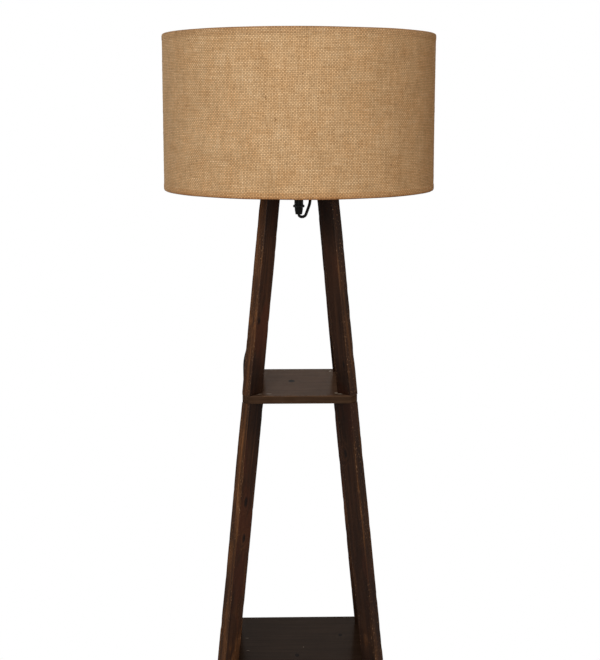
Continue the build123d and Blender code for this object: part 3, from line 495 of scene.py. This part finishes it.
def turned_beech():
    """Plain turned dowel."""
    finish = Finish("turned_beech", Specular_IOR_Level=0.4)
    where = finish.parts(finish.place())
    fibre = finish.stretched(where, (900, 900, 30), detail=3.0)
    flecks = finish.stretched(where, (400, 400, 110), detail=1.0).step(0.62, 0.7)
    colour = finish.two_tone(fibre, (0.45, 0.27, 0.13), (0.62, 0.42, 0.23))
    return finish.feed(Base_Color=finish.blend(flecks * 0.4, colour, (0.3, 0.15, 0.07)),
                       Roughness=0.5 + fibre * 0.2, Normal=finish.bump(fibre, 0.0001, 0.5))


def frosted_glass():
    """Opal bulb glass: the white coat inside makes it look solid, under a clear gloss."""
    finish = Finish("frosted_glass", Specular_IOR_Level=0.5, Coat_Weight=0.6, Coat_Roughness=0.05)
    where = finish.place()
    coat = finish.cloud(where, 70.0, detail=3.0)
    past_neck = finish.parts(where)[2].step(1.062, 1.082)
    colour = finish.two_tone(coat, (0.74, 0.73, 0.7), (0.82, 0.81, 0.79))
    return finish.feed(Base_Color=finish.blend(past_neck, (0.62, 0.6, 0.56), colour),
                       Roughness=0.22 + coat * 0.12, Normal=finish.bump(coat, 0.00005, 0.3))


def lead_jacket():
    """Soft black jacket with a dusty bloom."""
    finish = Finish("lead_jacket", Specular_IOR_Level=0.12)
    where = finish.place()
    cloud = finish.cloud(where, 90.0, detail=4.0)
    fine = finish.cloud(where, 1500.0)
    colour = finish.ramp(cloud, (0.3, (0.0075, 0.0075, 0.008)), (0.75, (0.019, 0.018, 0.0175)))
    return finish.feed(Base_Color=colour, Roughness=0.4 + cloud * 0.22 + fine * 0.06,
                       Normal=finish.bump(fine + cloud, 0.00006, 0.5))


# ---- objects and edges
def new_object(name, data):
    """Make an object of some data and put it in the scene."""
    made = bpy.data.objects.new(name, data)
    bpy.context.scene.collection.objects.link(made)
    return made


def round_edges(mesh, edges, offset, segments=2):
    """Round some edges of a bmesh."""
    bmesh.ops.bevel(mesh, geom=edges, offset=offset, segments=segments, profile=0.5,
                    affect="EDGES", material=-1)


# ---- free lead
# the lead's route points in metres, as the solid's own route has them
lead_exit = (-0.14194, 0.14194, 0.064)
lead_start = [
    lead_exit, (-0.14401, 0.14401, 0.044), (-0.1476, 0.1479, 0.026), (-0.153, 0.1536, 0.0115),
    (-0.163, 0.165, 0.0034), (-0.1735, 0.1815, 0.00225), (-0.177, 0.2005, 0.00225),
    (-0.1675, 0.2175, 0.0032), (-0.151, 0.228, 0.0065), (-0.137, 0.228, 0.0065),
    # through the switch
    (-0.035, 0.228, 0.0065), (-0.023, 0.228, 0.0065), (-0.008, 0.2246, 0.0034),
]
lead_to_plug = [
    (0.028, 0.2228, 0.0048), (0.043, 0.22, 0.0026), (0.0575, 0.2122, 0.0036),
    (0.071, 0.208, 0.00695), (0.084, 0.208, 0.00695),
]
lead_radius = 0.00225
points_per_turn = 24
# the second layer's climb, in turns: how long before the middle it starts, and how long it takes
climb_before, climb_length = 0.3, 0.6
strap_width, strap_wall, strap_top = 0.0052, 0.0009, 0.0108
# the turns lie on the strap's lower side up to the first angle, and on the floor from the second
on_strap, off_strap = radians(24), radians(48)


def coil_points(settings):
    """One spiral winding inwards on the floor, then a second one winding out on top of it."""
    middle, turns, pitch = settings.coil_middle, settings.coil_turns, 2 * lead_radius
    points = []
    for index in range(turns * points_per_turn + 1):
        done = index / points_per_turn
        radius = settings.coil_reach - pitch * min(done, turns - done)
        climb = min(1.0, max(0.0, (done - turns / 2 + climb_before) / climb_length))
        height = lead_radius + pitch * climb * climb * (3 - 2 * climb)
        angle = pi / 2 - tau * done
        # the strap is at the coil's left
        from_strap = abs(angle % tau - pi)
        over = (off_strap - from_strap) / (off_strap - on_strap)
        height += strap_wall * max(0.0, min(1.0, over))
        points.append((middle[0] + radius * cos(angle), middle[1] + radius * sin(angle), height))
    return points


def lay_lead(settings):
    """The free lead as one smooth spline: off the board, through switch and coil, to the plug."""
    points = lead_start + coil_points(settings) + lead_to_plug
    curve = bpy.data.curves.new("free_lead", "CURVE")
    curve.dimensions = "3D"
    spline = curve.splines.new("NURBS")
    spline.points.add(len(points) - 1)
    for control, point in zip(spline.points, points):
        control.co = (*point, 1.0)
    spline.order_u = 3
    spline.use_endpoint_u = True
    spline.resolution_u = 6
    curve.bevel_depth = lead_radius
    curve.bevel_resolution = 5
    curve.use_fill_caps = True
    return new_object("free_lead", curve)


# ---- mesh helpers
def new_piece(name, mesh, finish, smooth=True):
    """Turn a finished bmesh into a piece that rides on the frame."""
    data = bpy.data.meshes.new(name)
    mesh.to_mesh(data)
    mesh.free()
    piece = new_object(name, data)
    data.materials.append(finish.material)
    if smooth:
        data.shade_smooth()
    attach(piece, "frame")
    return piece


def apply_modifiers(piece):
    """Bake a piece's modifiers into its mesh."""
    graph = bpy.context.evaluated_depsgraph_get()
    made = bpy.data.meshes.new_from_object(piece.evaluated_get(graph))
    piece.modifiers.clear()
    old = piece.data
    piece.data = made
    bpy.data.meshes.remove(old)


def spin_outline(mesh, outline, steps):
    """Sweep a line of (radius, height) points round the upright axis into a closed band."""
    points = [mesh.verts.new((radius, 0.0, height)) for radius, height in outline]
    edges = [mesh.edges.new(pair) for pair in zip(points, points[1:])]
    bmesh.ops.spin(mesh, geom=points + edges, cent=(0, 0, 0), axis=(0, 0, 1), dvec=(0, 0, 0),
                   angle=tau, steps=steps, use_merge=True, use_normal_flip=False,
                   use_duplicate=False)


def even_points(start, end, count):
    """Points along a straight line, without its last one."""
    return [tuple(a + (b - a) * index / count for a, b in zip(start, end))
            for index in range(count)]


# ---- boards
# unevenness of a board: share of its section, sideways bow, and depth of dents in its arrises
board_swell, board_bow, board_dent = 0.03, 0.0004, 0.0014
arris_radius = 0.0013
board_row_height = 0.005


def make_board(node, tier, angle, finish, seed):
    """One sawn board, leaning inwards, with rubbed arrises and a slightly uneven section."""
    low, low_reach, high, high_reach = tiers[tier]
    depth, thickness, proud = board_section(tier, angle)
    outward = Vector((cos(radians(angle)), sin(radians(angle)), 0))
    across = Vector((-outward.y, outward.x, 0))
    length = high - low
    mesh = bmesh.new()
    bmesh.ops.create_cube(mesh, size=1.0)
    bmesh.ops.scale(mesh, vec=(depth, thickness, length), verts=mesh.verts)
    bmesh.ops.translate(mesh, vec=(0, 0, (high + low) / 2), verts=mesh.verts)
    long_edges = [edge for edge in mesh.edges
                  if abs(edge.verts[0].co.z - edge.verts[1].co.z) > length / 2]
    round_edges(mesh, long_edges, arris_radius, segments=3)
    rows = round(length / board_row_height)
    for row in range(1, rows):
        bmesh.ops.bisect_plane(mesh, geom=[*mesh.verts, *mesh.edges, *mesh.faces], dist=1e-6,
                               plane_co=(0, 0, low + length * row / rows), plane_no=(0, 0, 1))
    for vertex in mesh.verts:
        inwards, side, height = vertex.co
        swell = 1.0 + board_swell * noise.noise(Vector((height * 11, seed, 0.0)))
        bow = noise.noise(Vector((height * 6, seed, 5.0))) * board_bow
        near = arris_radius + 0.0002
        at_arris = abs(inwards) > depth / 2 - near and abs(side) > thickness / 2 - near
        worn = noise.noise(Vector((inwards * 90, side * 90 + seed, height * 75)))
        dent = max(0.0, worn - 0.1) * board_dent if at_arris else 0.0
        reach = low_reach + (high_reach - low_reach) * (height - low) / length
        deep = inwards * swell * (1.0 - dent / depth) + proud - depth / 2
        wide = side * swell * (1.0 - dent / thickness) + bow
        vertex.co = outward * (reach + deep) + across * wide + Vector((0, 0, height))
    board = new_piece("sawn_" + node, mesh, finish, smooth=False)
    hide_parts(node)
    return board


# ---- jute shade
shade_low, shade_high = 0.9904, 1.219
shade_middle = (shade_low + shade_high) / 2
wall_radius = 0.2028
wall_rows = 84
steps_round = 360
seam_angle = pi / 2
# how far the lap stands out at the back, and how far the rims rise and fall
lap_step, rim_wave = 0.0006, 0.00035


def shade_outline(settings):
    """Section of the cloth: from inside the top wire down the wall to inside the bottom wire."""
    band, step, tuck = settings.hem_height, settings.hem_step, settings.tuck
    outer, inner = wall_radius + step, wall_radius - 0.0046
    # one rim, as radius and distance from the shade's end
    rim = [(inner, tuck), (inner, tuck / 2), (inner, 0.0022), (inner + 0.0005, 0.0008),
           (inner + 0.0017, 0.0001), (outer - 0.0017, 0.0), (outer - 0.0006, 0.0006),
           (outer, 0.0022)]
    rim += even_points((outer, 0.004), (outer, band - 0.0006), 3)
    rim += [(outer, band - 0.0006), (outer - 0.0001, band - 0.0002), (wall_radius, band + 0.0004)]
    top = [(radius, shade_high - drop) for radius, drop in rim]
    bottom = [(radius, shade_low + rise) for radius, rise in reversed(rim)]
    wall = even_points((wall_radius, top[-1][1]), (wall_radius, bottom[0][1]), wall_rows)[1:]
    return top + wall + bottom


def make_shade(settings):
    """Jute stretched round the drum and glued, with its hems turned over the wires."""
    mesh = bmesh.new()
    spin_outline(mesh, shade_outline(settings), steps_round)
    bmesh.ops.recalc_face_normals(mesh, faces=mesh.faces)
    on_wall = next(face for face in mesh.faces
                   if abs(face.calc_center_median().z - shade_middle) < 0.02)
    middle = on_wall.calc_center_median()
    if on_wall.normal.dot(Vector((middle.x, middle.y, 0))) < 0:
        bmesh.ops.reverse_faces(mesh, faces=mesh.faces)
    for vertex in mesh.verts:
        x, y, z = vertex.co
        angle = atan2(y, x)
        outward = Vector((cos(angle), sin(angle), 0))
        wave = noise.noise(Vector((x * 9, y * 9, z * 7)))
        lump = noise.noise(Vector((x * 70, y * 70, z * 190)))
        streak = noise.noise(Vector((x * 26, y * 26, z * 640)))
        push = wave * 0.00045 + lump * 0.00012 + max(0.0, streak - 0.25) * 0.00045
        past_seam = (angle - seam_angle) * wall_radius
        if 0.0 <= past_seam < settings.seam_lap:
            push += lap_step
        rim = noise.noise(Vector((x * 14, y * 14, 3.0 if z > shade_middle else 8.0)))
        rise = rim * rim_wave if abs(z - shade_middle) > 0.1 else 0.0
        vertex.co += outward * push + Vector((0, 0, rise))
    cloth = mesh.loops.layers.uv.new("cloth")
    inner = wall_radius - 0.002
    for face in mesh.faces:
        middle = face.calc_center_median()
        middle_angle = (atan2(middle.y, middle.x) - seam_angle) % tau
        tucked = Vector((middle.x, middle.y)).length < inner
        for loop in face.loops:
            x, y, z = loop.vert.co
            angle = (atan2(y, x) - seam_angle) % tau
            if angle - middle_angle > pi:
                angle -= tau
            elif middle_angle - angle > pi:
                angle += tau
            if tucked:
                z = 2 * (shade_high if z > shade_middle else shade_low) - z
            loop[cloth].uv = (angle * wall_radius, z)
    shade = new_piece("jute_shade", mesh, finishes["jute"])
    shell = shade.modifiers.new("cloth thickness", "SOLIDIFY")
    shell.thickness = settings.cloth_thickness
    shell.offset = -1.0
    apply_modifiers(shade)
    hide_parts("shade_cover")
    return shade


# ---- tie round the coil
def rounded_outline(left, right, low, high, corner):
    """Points round a rectangle with round corners, as (across, height)."""
    steps = 6
    points = []
    for middle_x, middle_z, start in ((right - corner, high - corner, 0.0),
                                      (left + corner, high - corner, pi / 2),
                                      (left + corner, low + corner, pi),
                                      (right - corner, low + corner, 3 * pi / 2)):
        for index in range(steps + 1):
            angle = start + pi / 2 * index / steps
            points.append((middle_x + corner * cos(angle), middle_z + corner * sin(angle)))
    return points


def add_block(mesh, middle, size, lean, bevel):
    """A small box with rounded edges, leaning up by an angle about the Y axis."""
    made = bmesh.ops.create_cube(mesh, size=1.0)["verts"]
    bmesh.ops.scale(mesh, vec=size, verts=made)
    edges = list({edge for vertex in made for edge in vertex.link_edges})
    round_edges(mesh, edges, bevel)
    block = [vertex for vertex in mesh.verts if vertex.co.length < max(size)]
    bmesh.ops.rotate(mesh, cent=(0, 0, 0), matrix=Matrix.Rotation(-lean, 3, "Y"), verts=block)
    bmesh.ops.translate(mesh, vec=middle, verts=block)


def make_tie(settings):
    """Strap drawn tight round the coil through its own head, with the tail cut short."""
    across, back = settings.coil_middle
    left, right, corner, arris = across - 0.0354, across - 0.0131, 0.0034, 0.0002
    wall, top, half = strap_wall, strap_top, strap_width / 2
    mesh = bmesh.new()
    # its head, then its tail
    add_block(mesh, (left + 0.0104, back, top + 0.0011), (0.0052, 0.0072, 0.0038), 0.0, 0.0006)
    add_block(mesh, (left + 0.0165, back, top + 0.0014), (0.009, strap_width - 0.0008, wall),
              0.16, arris)
    outer = rounded_outline(left, right, 0.0, top, corner)
    inner = rounded_outline(left + wall, right - wall, wall, top - wall, corner - wall)
    rings = [[mesh.verts.new((x, back + side, z)) for x, z in outline]
             for outline, side in ((outer, -half), (outer, half), (inner, half), (inner, -half))]
    for first, second in zip(rings, rings[1:] + rings[:1]):
        for here, there in zip(range(len(first)), [*range(1, len(first)), 0]):
            mesh.faces.new((first[here], first[there], second[there], second[here]))
    arrises = [mesh.edges.get(pair) for ring in rings for pair in zip(ring, ring[1:] + ring[:1])]
    round_edges(mesh, arrises, arris)
    bmesh.ops.recalc_face_normals(mesh, faces=mesh.faces)
    tie = new_piece("coil_strap", mesh, finishes["soft_black"], smooth=False)
    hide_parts("coil_tie")
    return tie


# ---- studio
# camera fitted to the shade's rims, the boards' outlines and both shelves: rows of the picture,
# degrees and metres
picture_rows = 660
focal_pixels = 1114.7
centre_row = 260.7
camera_turn = -1.22
camera_tilt = 8.02
camera_distance = 1.6897
camera_side = 0.0018
camera_height = 1.1181


def make_camera():
    """The photograph's view, from the front at the height of the shade."""
    data = bpy.data.cameras.new("camera")
    data.sensor_width = 36.0
    data.lens = focal_pixels * data.sensor_width / picture_rows
    data.shift_y = -(picture_rows / 2 - centre_row) / picture_rows
    data.clip_end = 60.0
    camera = new_object("camera", data)
    turn, tilt = radians(camera_turn), radians(camera_tilt)
    right = Vector((cos(turn), sin(turn), 0))
    ahead = Vector((-sin(turn), cos(turn), 0))
    camera.location = right * camera_side - ahead * camera_distance + Vector((0, 0, camera_height))
    look = ahead * cos(tilt) - Vector((0, 0, sin(tilt)))
    camera.rotation_mode = "QUATERNION"
    camera.rotation_quaternion = look.to_track_quat("-Z", "Y")
    bpy.context.scene.camera = camera


def make_light(name, spot, aim_height, size, power, colour):
    """A soft square light, aimed at a height on the lamp's axis."""
    data = bpy.data.lights.new(name, "AREA")
    data.shape = "RECTANGLE"
    data.size, data.size_y = size
    data.energy = power
    data.color = colour
    light = new_object(name, data)
    light.location = spot
    light.rotation_mode = "QUATERNION"
    light.rotation_quaternion = (Vector((0, 0, aim_height)) - Vector(spot)).to_track_quat("-Z", "Y")


def make_world(brightness):
    """Even warm light all round, and white behind the lamp."""
    world = bpy.data.worlds.new("studio")
    bpy.context.scene.world = world
    world.use_nodes = True
    world.node_tree.nodes.clear()
    tree = Tree(world.node_tree)
    camera, through, glossy = [tree.node("ShaderNodeLightPath", output=f"Is {kind} Ray")
                               for kind in ("Camera", "Transmission", "Glossy")]
    soft, white = [tree.node("ShaderNodeBackground", {}, {"Color": colour, "Strength": strength})
                   for colour, strength in (((1.0, 0.64, 0.32, 1.0), brightness),
                                            ((1.0, 1.0, 1.0, 1.0), 1.0))]
    seen = camera.at_least(through).at_least(glossy)
    mixed = tree.node("ShaderNodeMixShader", {}, {0: seen, 1: soft, 2: white})
    tree.node("ShaderNodeOutputWorld", {}, {"Surface": mixed})


def make_floor(reach, clear_from, clear_at):
    """A pale round floor that keeps the lamp's shadow and fades into the white behind."""
    mesh = bmesh.new()
    bmesh.ops.create_circle(mesh, cap_ends=True, cap_tris=False, segments=96, radius=reach)
    data = bpy.data.meshes.new("studio_floor")
    mesh.to_mesh(data)
    mesh.free()
    floor = new_object("studio_floor", data)
    finish = Finish("studio_floor", Base_Color=(0.88, 0.88, 0.88, 1.0), Roughness=0.9,
                    Specular_IOR_Level=0.1, Emission_Color=(0.82, 0.92, 1.0, 1.0),
                    Emission_Strength=0.46)
    x, y, _ = finish.parts(finish.place())
    away = (x * x + y * y).root()
    clear = finish.node("ShaderNodeBsdfTransparent")
    mixed = finish.node("ShaderNodeMixShader", {}, {
        0: away.step(clear_from, clear_at), 1: Varying(finish, finish.shader.outputs[0]),
        2: clear})
    finish.links.new(mixed.socket, finish.nodes["Material Output"].inputs["Surface"])
    data.materials.append(finish.material)


# ---- what a user may change
class LampSettings(bpy.types.PropertyGroup):
    """Sizes of the lamp's soft pieces and finishes, and the strength of the lights."""

    thread_pitch: bpy.props.FloatProperty(
        name="Thread pitch", description="Distance from one jute thread to the next",
        default=0.00224, min=0.0008, max=0.006, unit="LENGTH")
    hem_height: bpy.props.FloatProperty(
        name="Hem height", description="Height of the band at each rim of the shade",
        default=0.009, min=0.004, max=0.03, unit="LENGTH")
    hem_step: bpy.props.FloatProperty(
        name="Hem step", description="How far the hem stands out from the wall",
        default=0.0004, min=0.0, max=0.002, unit="LENGTH")
    tuck: bpy.props.FloatProperty(
        name="Tuck", description="Height of the cloth turned in behind each wire",
        default=0.007, min=0.003, max=0.015, unit="LENGTH")
    cloth_thickness: bpy.props.FloatProperty(
        name="Cloth thickness", description="Thickness of the jute",
        default=0.0009, min=0.0004, max=0.002, unit="LENGTH")
    seam_lap: bpy.props.FloatProperty(
        name="Seam lap", description="Width of the glued overlap at the back of the shade",
        default=0.012, min=0.006, max=0.03, unit="LENGTH")
    coil_middle: bpy.props.FloatVectorProperty(
        name="Coil middle", description="Where the spare lead is wound, on the floor",
        default=(0.012, 0.19), size=2, subtype="XYZ", unit="LENGTH")
    coil_reach: bpy.props.FloatProperty(
        name="Coil reach", description="Radius of the outermost turn of spare lead",
        default=0.0332, min=0.02, max=0.06, unit="LENGTH")
    coil_turns: bpy.props.IntProperty(
        name="Coil turns", description="Turns of spare lead, half of them on the floor",
        default=8, min=2, max=12)
    light_power: bpy.props.FloatProperty(
        name="Key light", description="Power of the main lamp in watts",
        default=50.0, min=0.0, max=400.0)
    sky: bpy.props.FloatProperty(
        name="Surrounding light", description="Strength of the even light all round",
        default=0.21, min=0.0, max=3.0)


finishes = {}


# ---- operators
class LAMP_OT_boards(bpy.types.Operator):
    """Saw the twelve boards and stain them, each with its own grain, knots and wear"""

    bl_idname = "lamp.boards"
    bl_label = "Make the boards"

    def execute(self, context):
        for tier in tiers:
            for place, angle in diagonals.items():
                tone, worn, knots, seed = board_looks[tier][place]
                node = f"{tier}_{place}"
                wood = stained_board(node + "_wood", tier, angle, tone, worn, knots, seed)
                give(wood, node)
                make_board(node, tier, angle, wood, seed)
        return {"FINISHED"}


class LAMP_OT_shelves(bpy.types.Operator):
    """Give both shelves and the top plate their satin stain, and the dowels plain beech"""

    bl_idname = "lamp.shelves"
    bl_label = "Stain the shelves"

    def execute(self, context):
        for name, (knots, scratches_and_glints, seed, tone) in panel_looks.items():
            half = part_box(name)[1][0]
            give(stained_panel(name + "_wood", half, tone, knots, scratches_and_glints, seed), name)
        give(turned_beech(), "mid_shelf_dowels", "lower_shelf_dowels")
        return {"FINISHED"}


class LAMP_OT_fittings(bpy.types.Operator):
    """Finish the threaded tube, lamp holder, bulb, wires, clips and glides"""

    bl_idname = "lamp.fittings"
    bl_label = "Finish the fittings"

    def execute(self, context):
        give(zinc_plate(), "threaded_tube", "plate_washer", "top_screws", "clip_nails",
             "switch_screws", "rocker_pin")
        give(moulded_black("moulded_black"), "spacer_sleeve", "lock_nut", "holder_cap",
             "holder_shell", "clamp_ring", "switch_base", "switch_cover", "plug_body",
             "cable_clips")
        give(moulded_black("polished_black", 0.01, 0.22, 2400.0, 0.00001), "switch_rocker",
             "bulb_insulator")
        finishes["soft_black"] = moulded_black("soft_black", 0.013, 0.62, 900.0, 0.00005)
        give(finishes["soft_black"], "cord_grip", "plug_relief", "switch_reliefs", "coil_tie",
             "foot_glides")
        give(stamped_metal("stamped_brass", (0.68, 0.47, 0.19), (0.36, 0.22, 0.09)), "screw_shell",
             "centre_contact", "switch_terminals")
        give(stamped_metal("rolled_aluminium", (0.7, 0.7, 0.7), (0.45, 0.45, 0.46), 0.3),
             "bulb_cap", "bulb_tip")
        give(stamped_metal("nickel_pins", (0.66, 0.64, 0.6), (0.46, 0.44, 0.4), 0.16),
             "plug_pins")
        # white glaze with pinholes
        give(drifting_finish("glazed_porcelain", 120.0, (0.66, 0.64, 0.58), (0.78, 0.76, 0.71),
                             (0.18, 0.14), 0.0001,
                             (520.0, 0.09, 0.03, 0.7, (0.3, 0.26, 0.2), 0.3),
                             Specular_IOR_Level=0.6, Coat_Weight=0.5, Coat_Roughness=0.08),
             "holder_insert")
        give(frosted_glass(), "bulb_glass")
        give(drifting_finish("brown_insulation", 380.0, (0.075, 0.026, 0.01),
                             (0.12, 0.045, 0.018), (0.36, 0.2), 0.00005), "holder_wires")
        return {"FINISHED"}


class LAMP_OT_shade(bpy.types.Operator):
    """Stretch the jute over the drum, and finish its liner, wires and spider"""

    bl_idname = "lamp.shade"
    bl_label = "Cover the shade"

    def execute(self, context):
        settings = context.scene.shelf_lamp
        finishes["jute"] = woven_jute(settings.thread_pitch)
        make_shade(settings)
        # white dipped paint with runs and tiny chips
        give(drifting_finish("enamelled_wire", 240.0, (0.68, 0.67, 0.63), (0.8, 0.79, 0.76),
                             (0.34, 0.2), 0.00008,
                             (330.0, 0.1, 0.03, 1.0, (0.2, 0.17, 0.14), 0.0),
                             Coat_Weight=0.3, Coat_Roughness=0.2),
             "shade_top_ring", "shade_bottom_ring", "shade_spider")
        give(shade_liner(), "shade_liner")
        return {"FINISHED"}


class LAMP_OT_lead(bpy.types.Operator):
    """Lay the free lead over the floor, through its switch and coil, to the plug"""

    bl_idname = "lamp.lead"
    bl_label = "Lay the lead"

    def execute(self, context):
        settings = context.scene.shelf_lamp
        jacket = lead_jacket()
        give(jacket, "lead_on_frame")
        lead = lay_lead(settings)
        lead.data.materials.append(jacket.material)
        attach(lead, "frame")
        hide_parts("lead_to_switch", "lead_to_coil", "cord_coil", "lead_to_plug")
        tie = make_tie(settings)
        return {"FINISHED"}


class LAMP_OT_studio(bpy.types.Operator):
    """Set up the pale floor, the soft lights and the camera"""

    bl_idname = "lamp.studio"
    bl_label = "Set up the studio"

    def execute(self, context):
        settings = context.scene.shelf_lamp
        context.scene.view_settings.view_transform = "Standard"
        make_floor(0.6, 0.3, 0.46)
        make_world(settings.sky)
        for name, spot, aim_height, size, share, colour in (
                ("key", (-0.55, -2.6, 1.75), 0.9, (1.2, 1.5), 1.0, (1.0, 1.0, 1.0)),
                ("fill", (2.3, -0.9, 1.3), 0.8, (1.6, 1.6), 0.06, (1.0, 0.8, 0.6)),
                ("back", (0.3, 2.4, 1.7), 0.8, (1.6, 1.2), 0.42, (1.0, 0.96, 0.9))):
            make_light(name, spot, aim_height, size, settings.light_power * share, colour)
        make_camera()
        return {"FINISHED"}


class LAMP_PT_panel(bpy.types.Panel):
    """Lists what may be changed, and a button for each building step"""

    bl_label = "Shelf floor lamp"
    bl_idname = "LAMP_PT_panel"
    bl_space_type = "VIEW_3D"
    bl_region_type = "UI"
    bl_category = "Floor lamp"

    def draw(self, context):
        column = self.layout.column()
        settings = context.scene.shelf_lamp
        for name in LampSettings.__annotations__:
            column.prop(settings, name)
        for operator in operators:
            column.operator(operator.bl_idname)


# tone, wear of the outer edge, knots as (depth, height, size), and seed
board_looks = {
    "upper_leg": {
        "front_left": (1.24, 0.72, [(-0.006, 0.8, 0.003)], 3.1),
        "front_right": (0.85, 0.45, [(-0.008, 0.735, 0.003)], 11.7),
        "rear_left": (0.95, 0.8, [(-0.012, 0.87, 0.004)], 19.3),
        "rear_right": (0.9, 0.7, [(-0.018, 0.76, 0.005)], 27.9),
    },
    "middle_leg": {
        "front_left": (1.05, 1.0, [(-0.012, 0.53, 0.005), (-0.015, 0.475, 0.004)], 35.2),
        "front_right": (0.82, 0.42, [(-0.02, 0.6, 0.004)], 43.8),
        "rear_left": (0.95, 0.8, [(-0.01, 0.36, 0.005)], 51.4),
        "rear_right": (1.0, 0.8, [(-0.016, 0.44, 0.005)], 59.6),
    },
    "foot_leg": {
        "front_left": (1.1, 0.9, [(-0.014, 0.12, 0.005)], 67.1),
        "front_right": (0.85, 0.8, [(-0.01, 0.17, 0.004)], 75.5),
        "rear_left": (0.95, 0.8, [(-0.018, 0.09, 0.005)], 83.2),
        "rear_right": (1.0, 0.8, [(-0.012, 0.15, 0.004)], 91.9),
    },
}
# each panel's knots as (across, back, size), its pale scratches and painted glints as (across,
# back, half length across, half length back), seed and tone
panel_looks = {
    "mid_shelf": ([(-0.0113, 0.0049, 0.008)], [
        (0.052, 0.069, 0.0026, 0.004), (0.0545, -0.069, 0.003, 0.0036),
        (0.06, -0.0745, 0.0046, 0.0026), (-0.062, -0.0735, 0.006, 0.0018),
        (-0.046, -0.072, 0.005, 0.0014)], 4.7, 1.56),
    "lower_shelf": ([(-0.003, -0.007, 0.0058), (0.07, 0.06, 0.005)], [
        (0.0079, 0.0197, 0.0008, 0.001), (-0.085, 0.052, 0.0035, 0.0004),
        (-0.082, 0.01, 0.003, 0.0004)], 14.3, 0.44),
    "top_plate": ([(0.03, -0.03, 0.003)], [(-0.02, 0.03, 0.004, 0.0005)], 24.6, 0.6),
}

operators = (LAMP_OT_boards, LAMP_OT_shelves, LAMP_OT_fittings, LAMP_OT_shade, LAMP_OT_lead,
             LAMP_OT_studio)
classes = (LampSettings, *operators, LAMP_PT_panel)


def register():
    for each in classes:
        bpy.utils.register_class(each)
    bpy.types.Scene.shelf_lamp = bpy.props.PointerProperty(type=LampSettings)


def unregister():
    del bpy.types.Scene.shelf_lamp
    for each in reversed(classes):
        bpy.utils.unregister_class(each)


def main():
    """Register the add-on's classes and build every piece."""
    register()
    bpy.ops.lamp.boards()
    bpy.ops.lamp.shelves()
    bpy.ops.lamp.fittings()
    bpy.ops.lamp.shade()
    bpy.ops.lamp.lead()
    bpy.ops.lamp.studio()


if __name__ == "__main__":
    main()
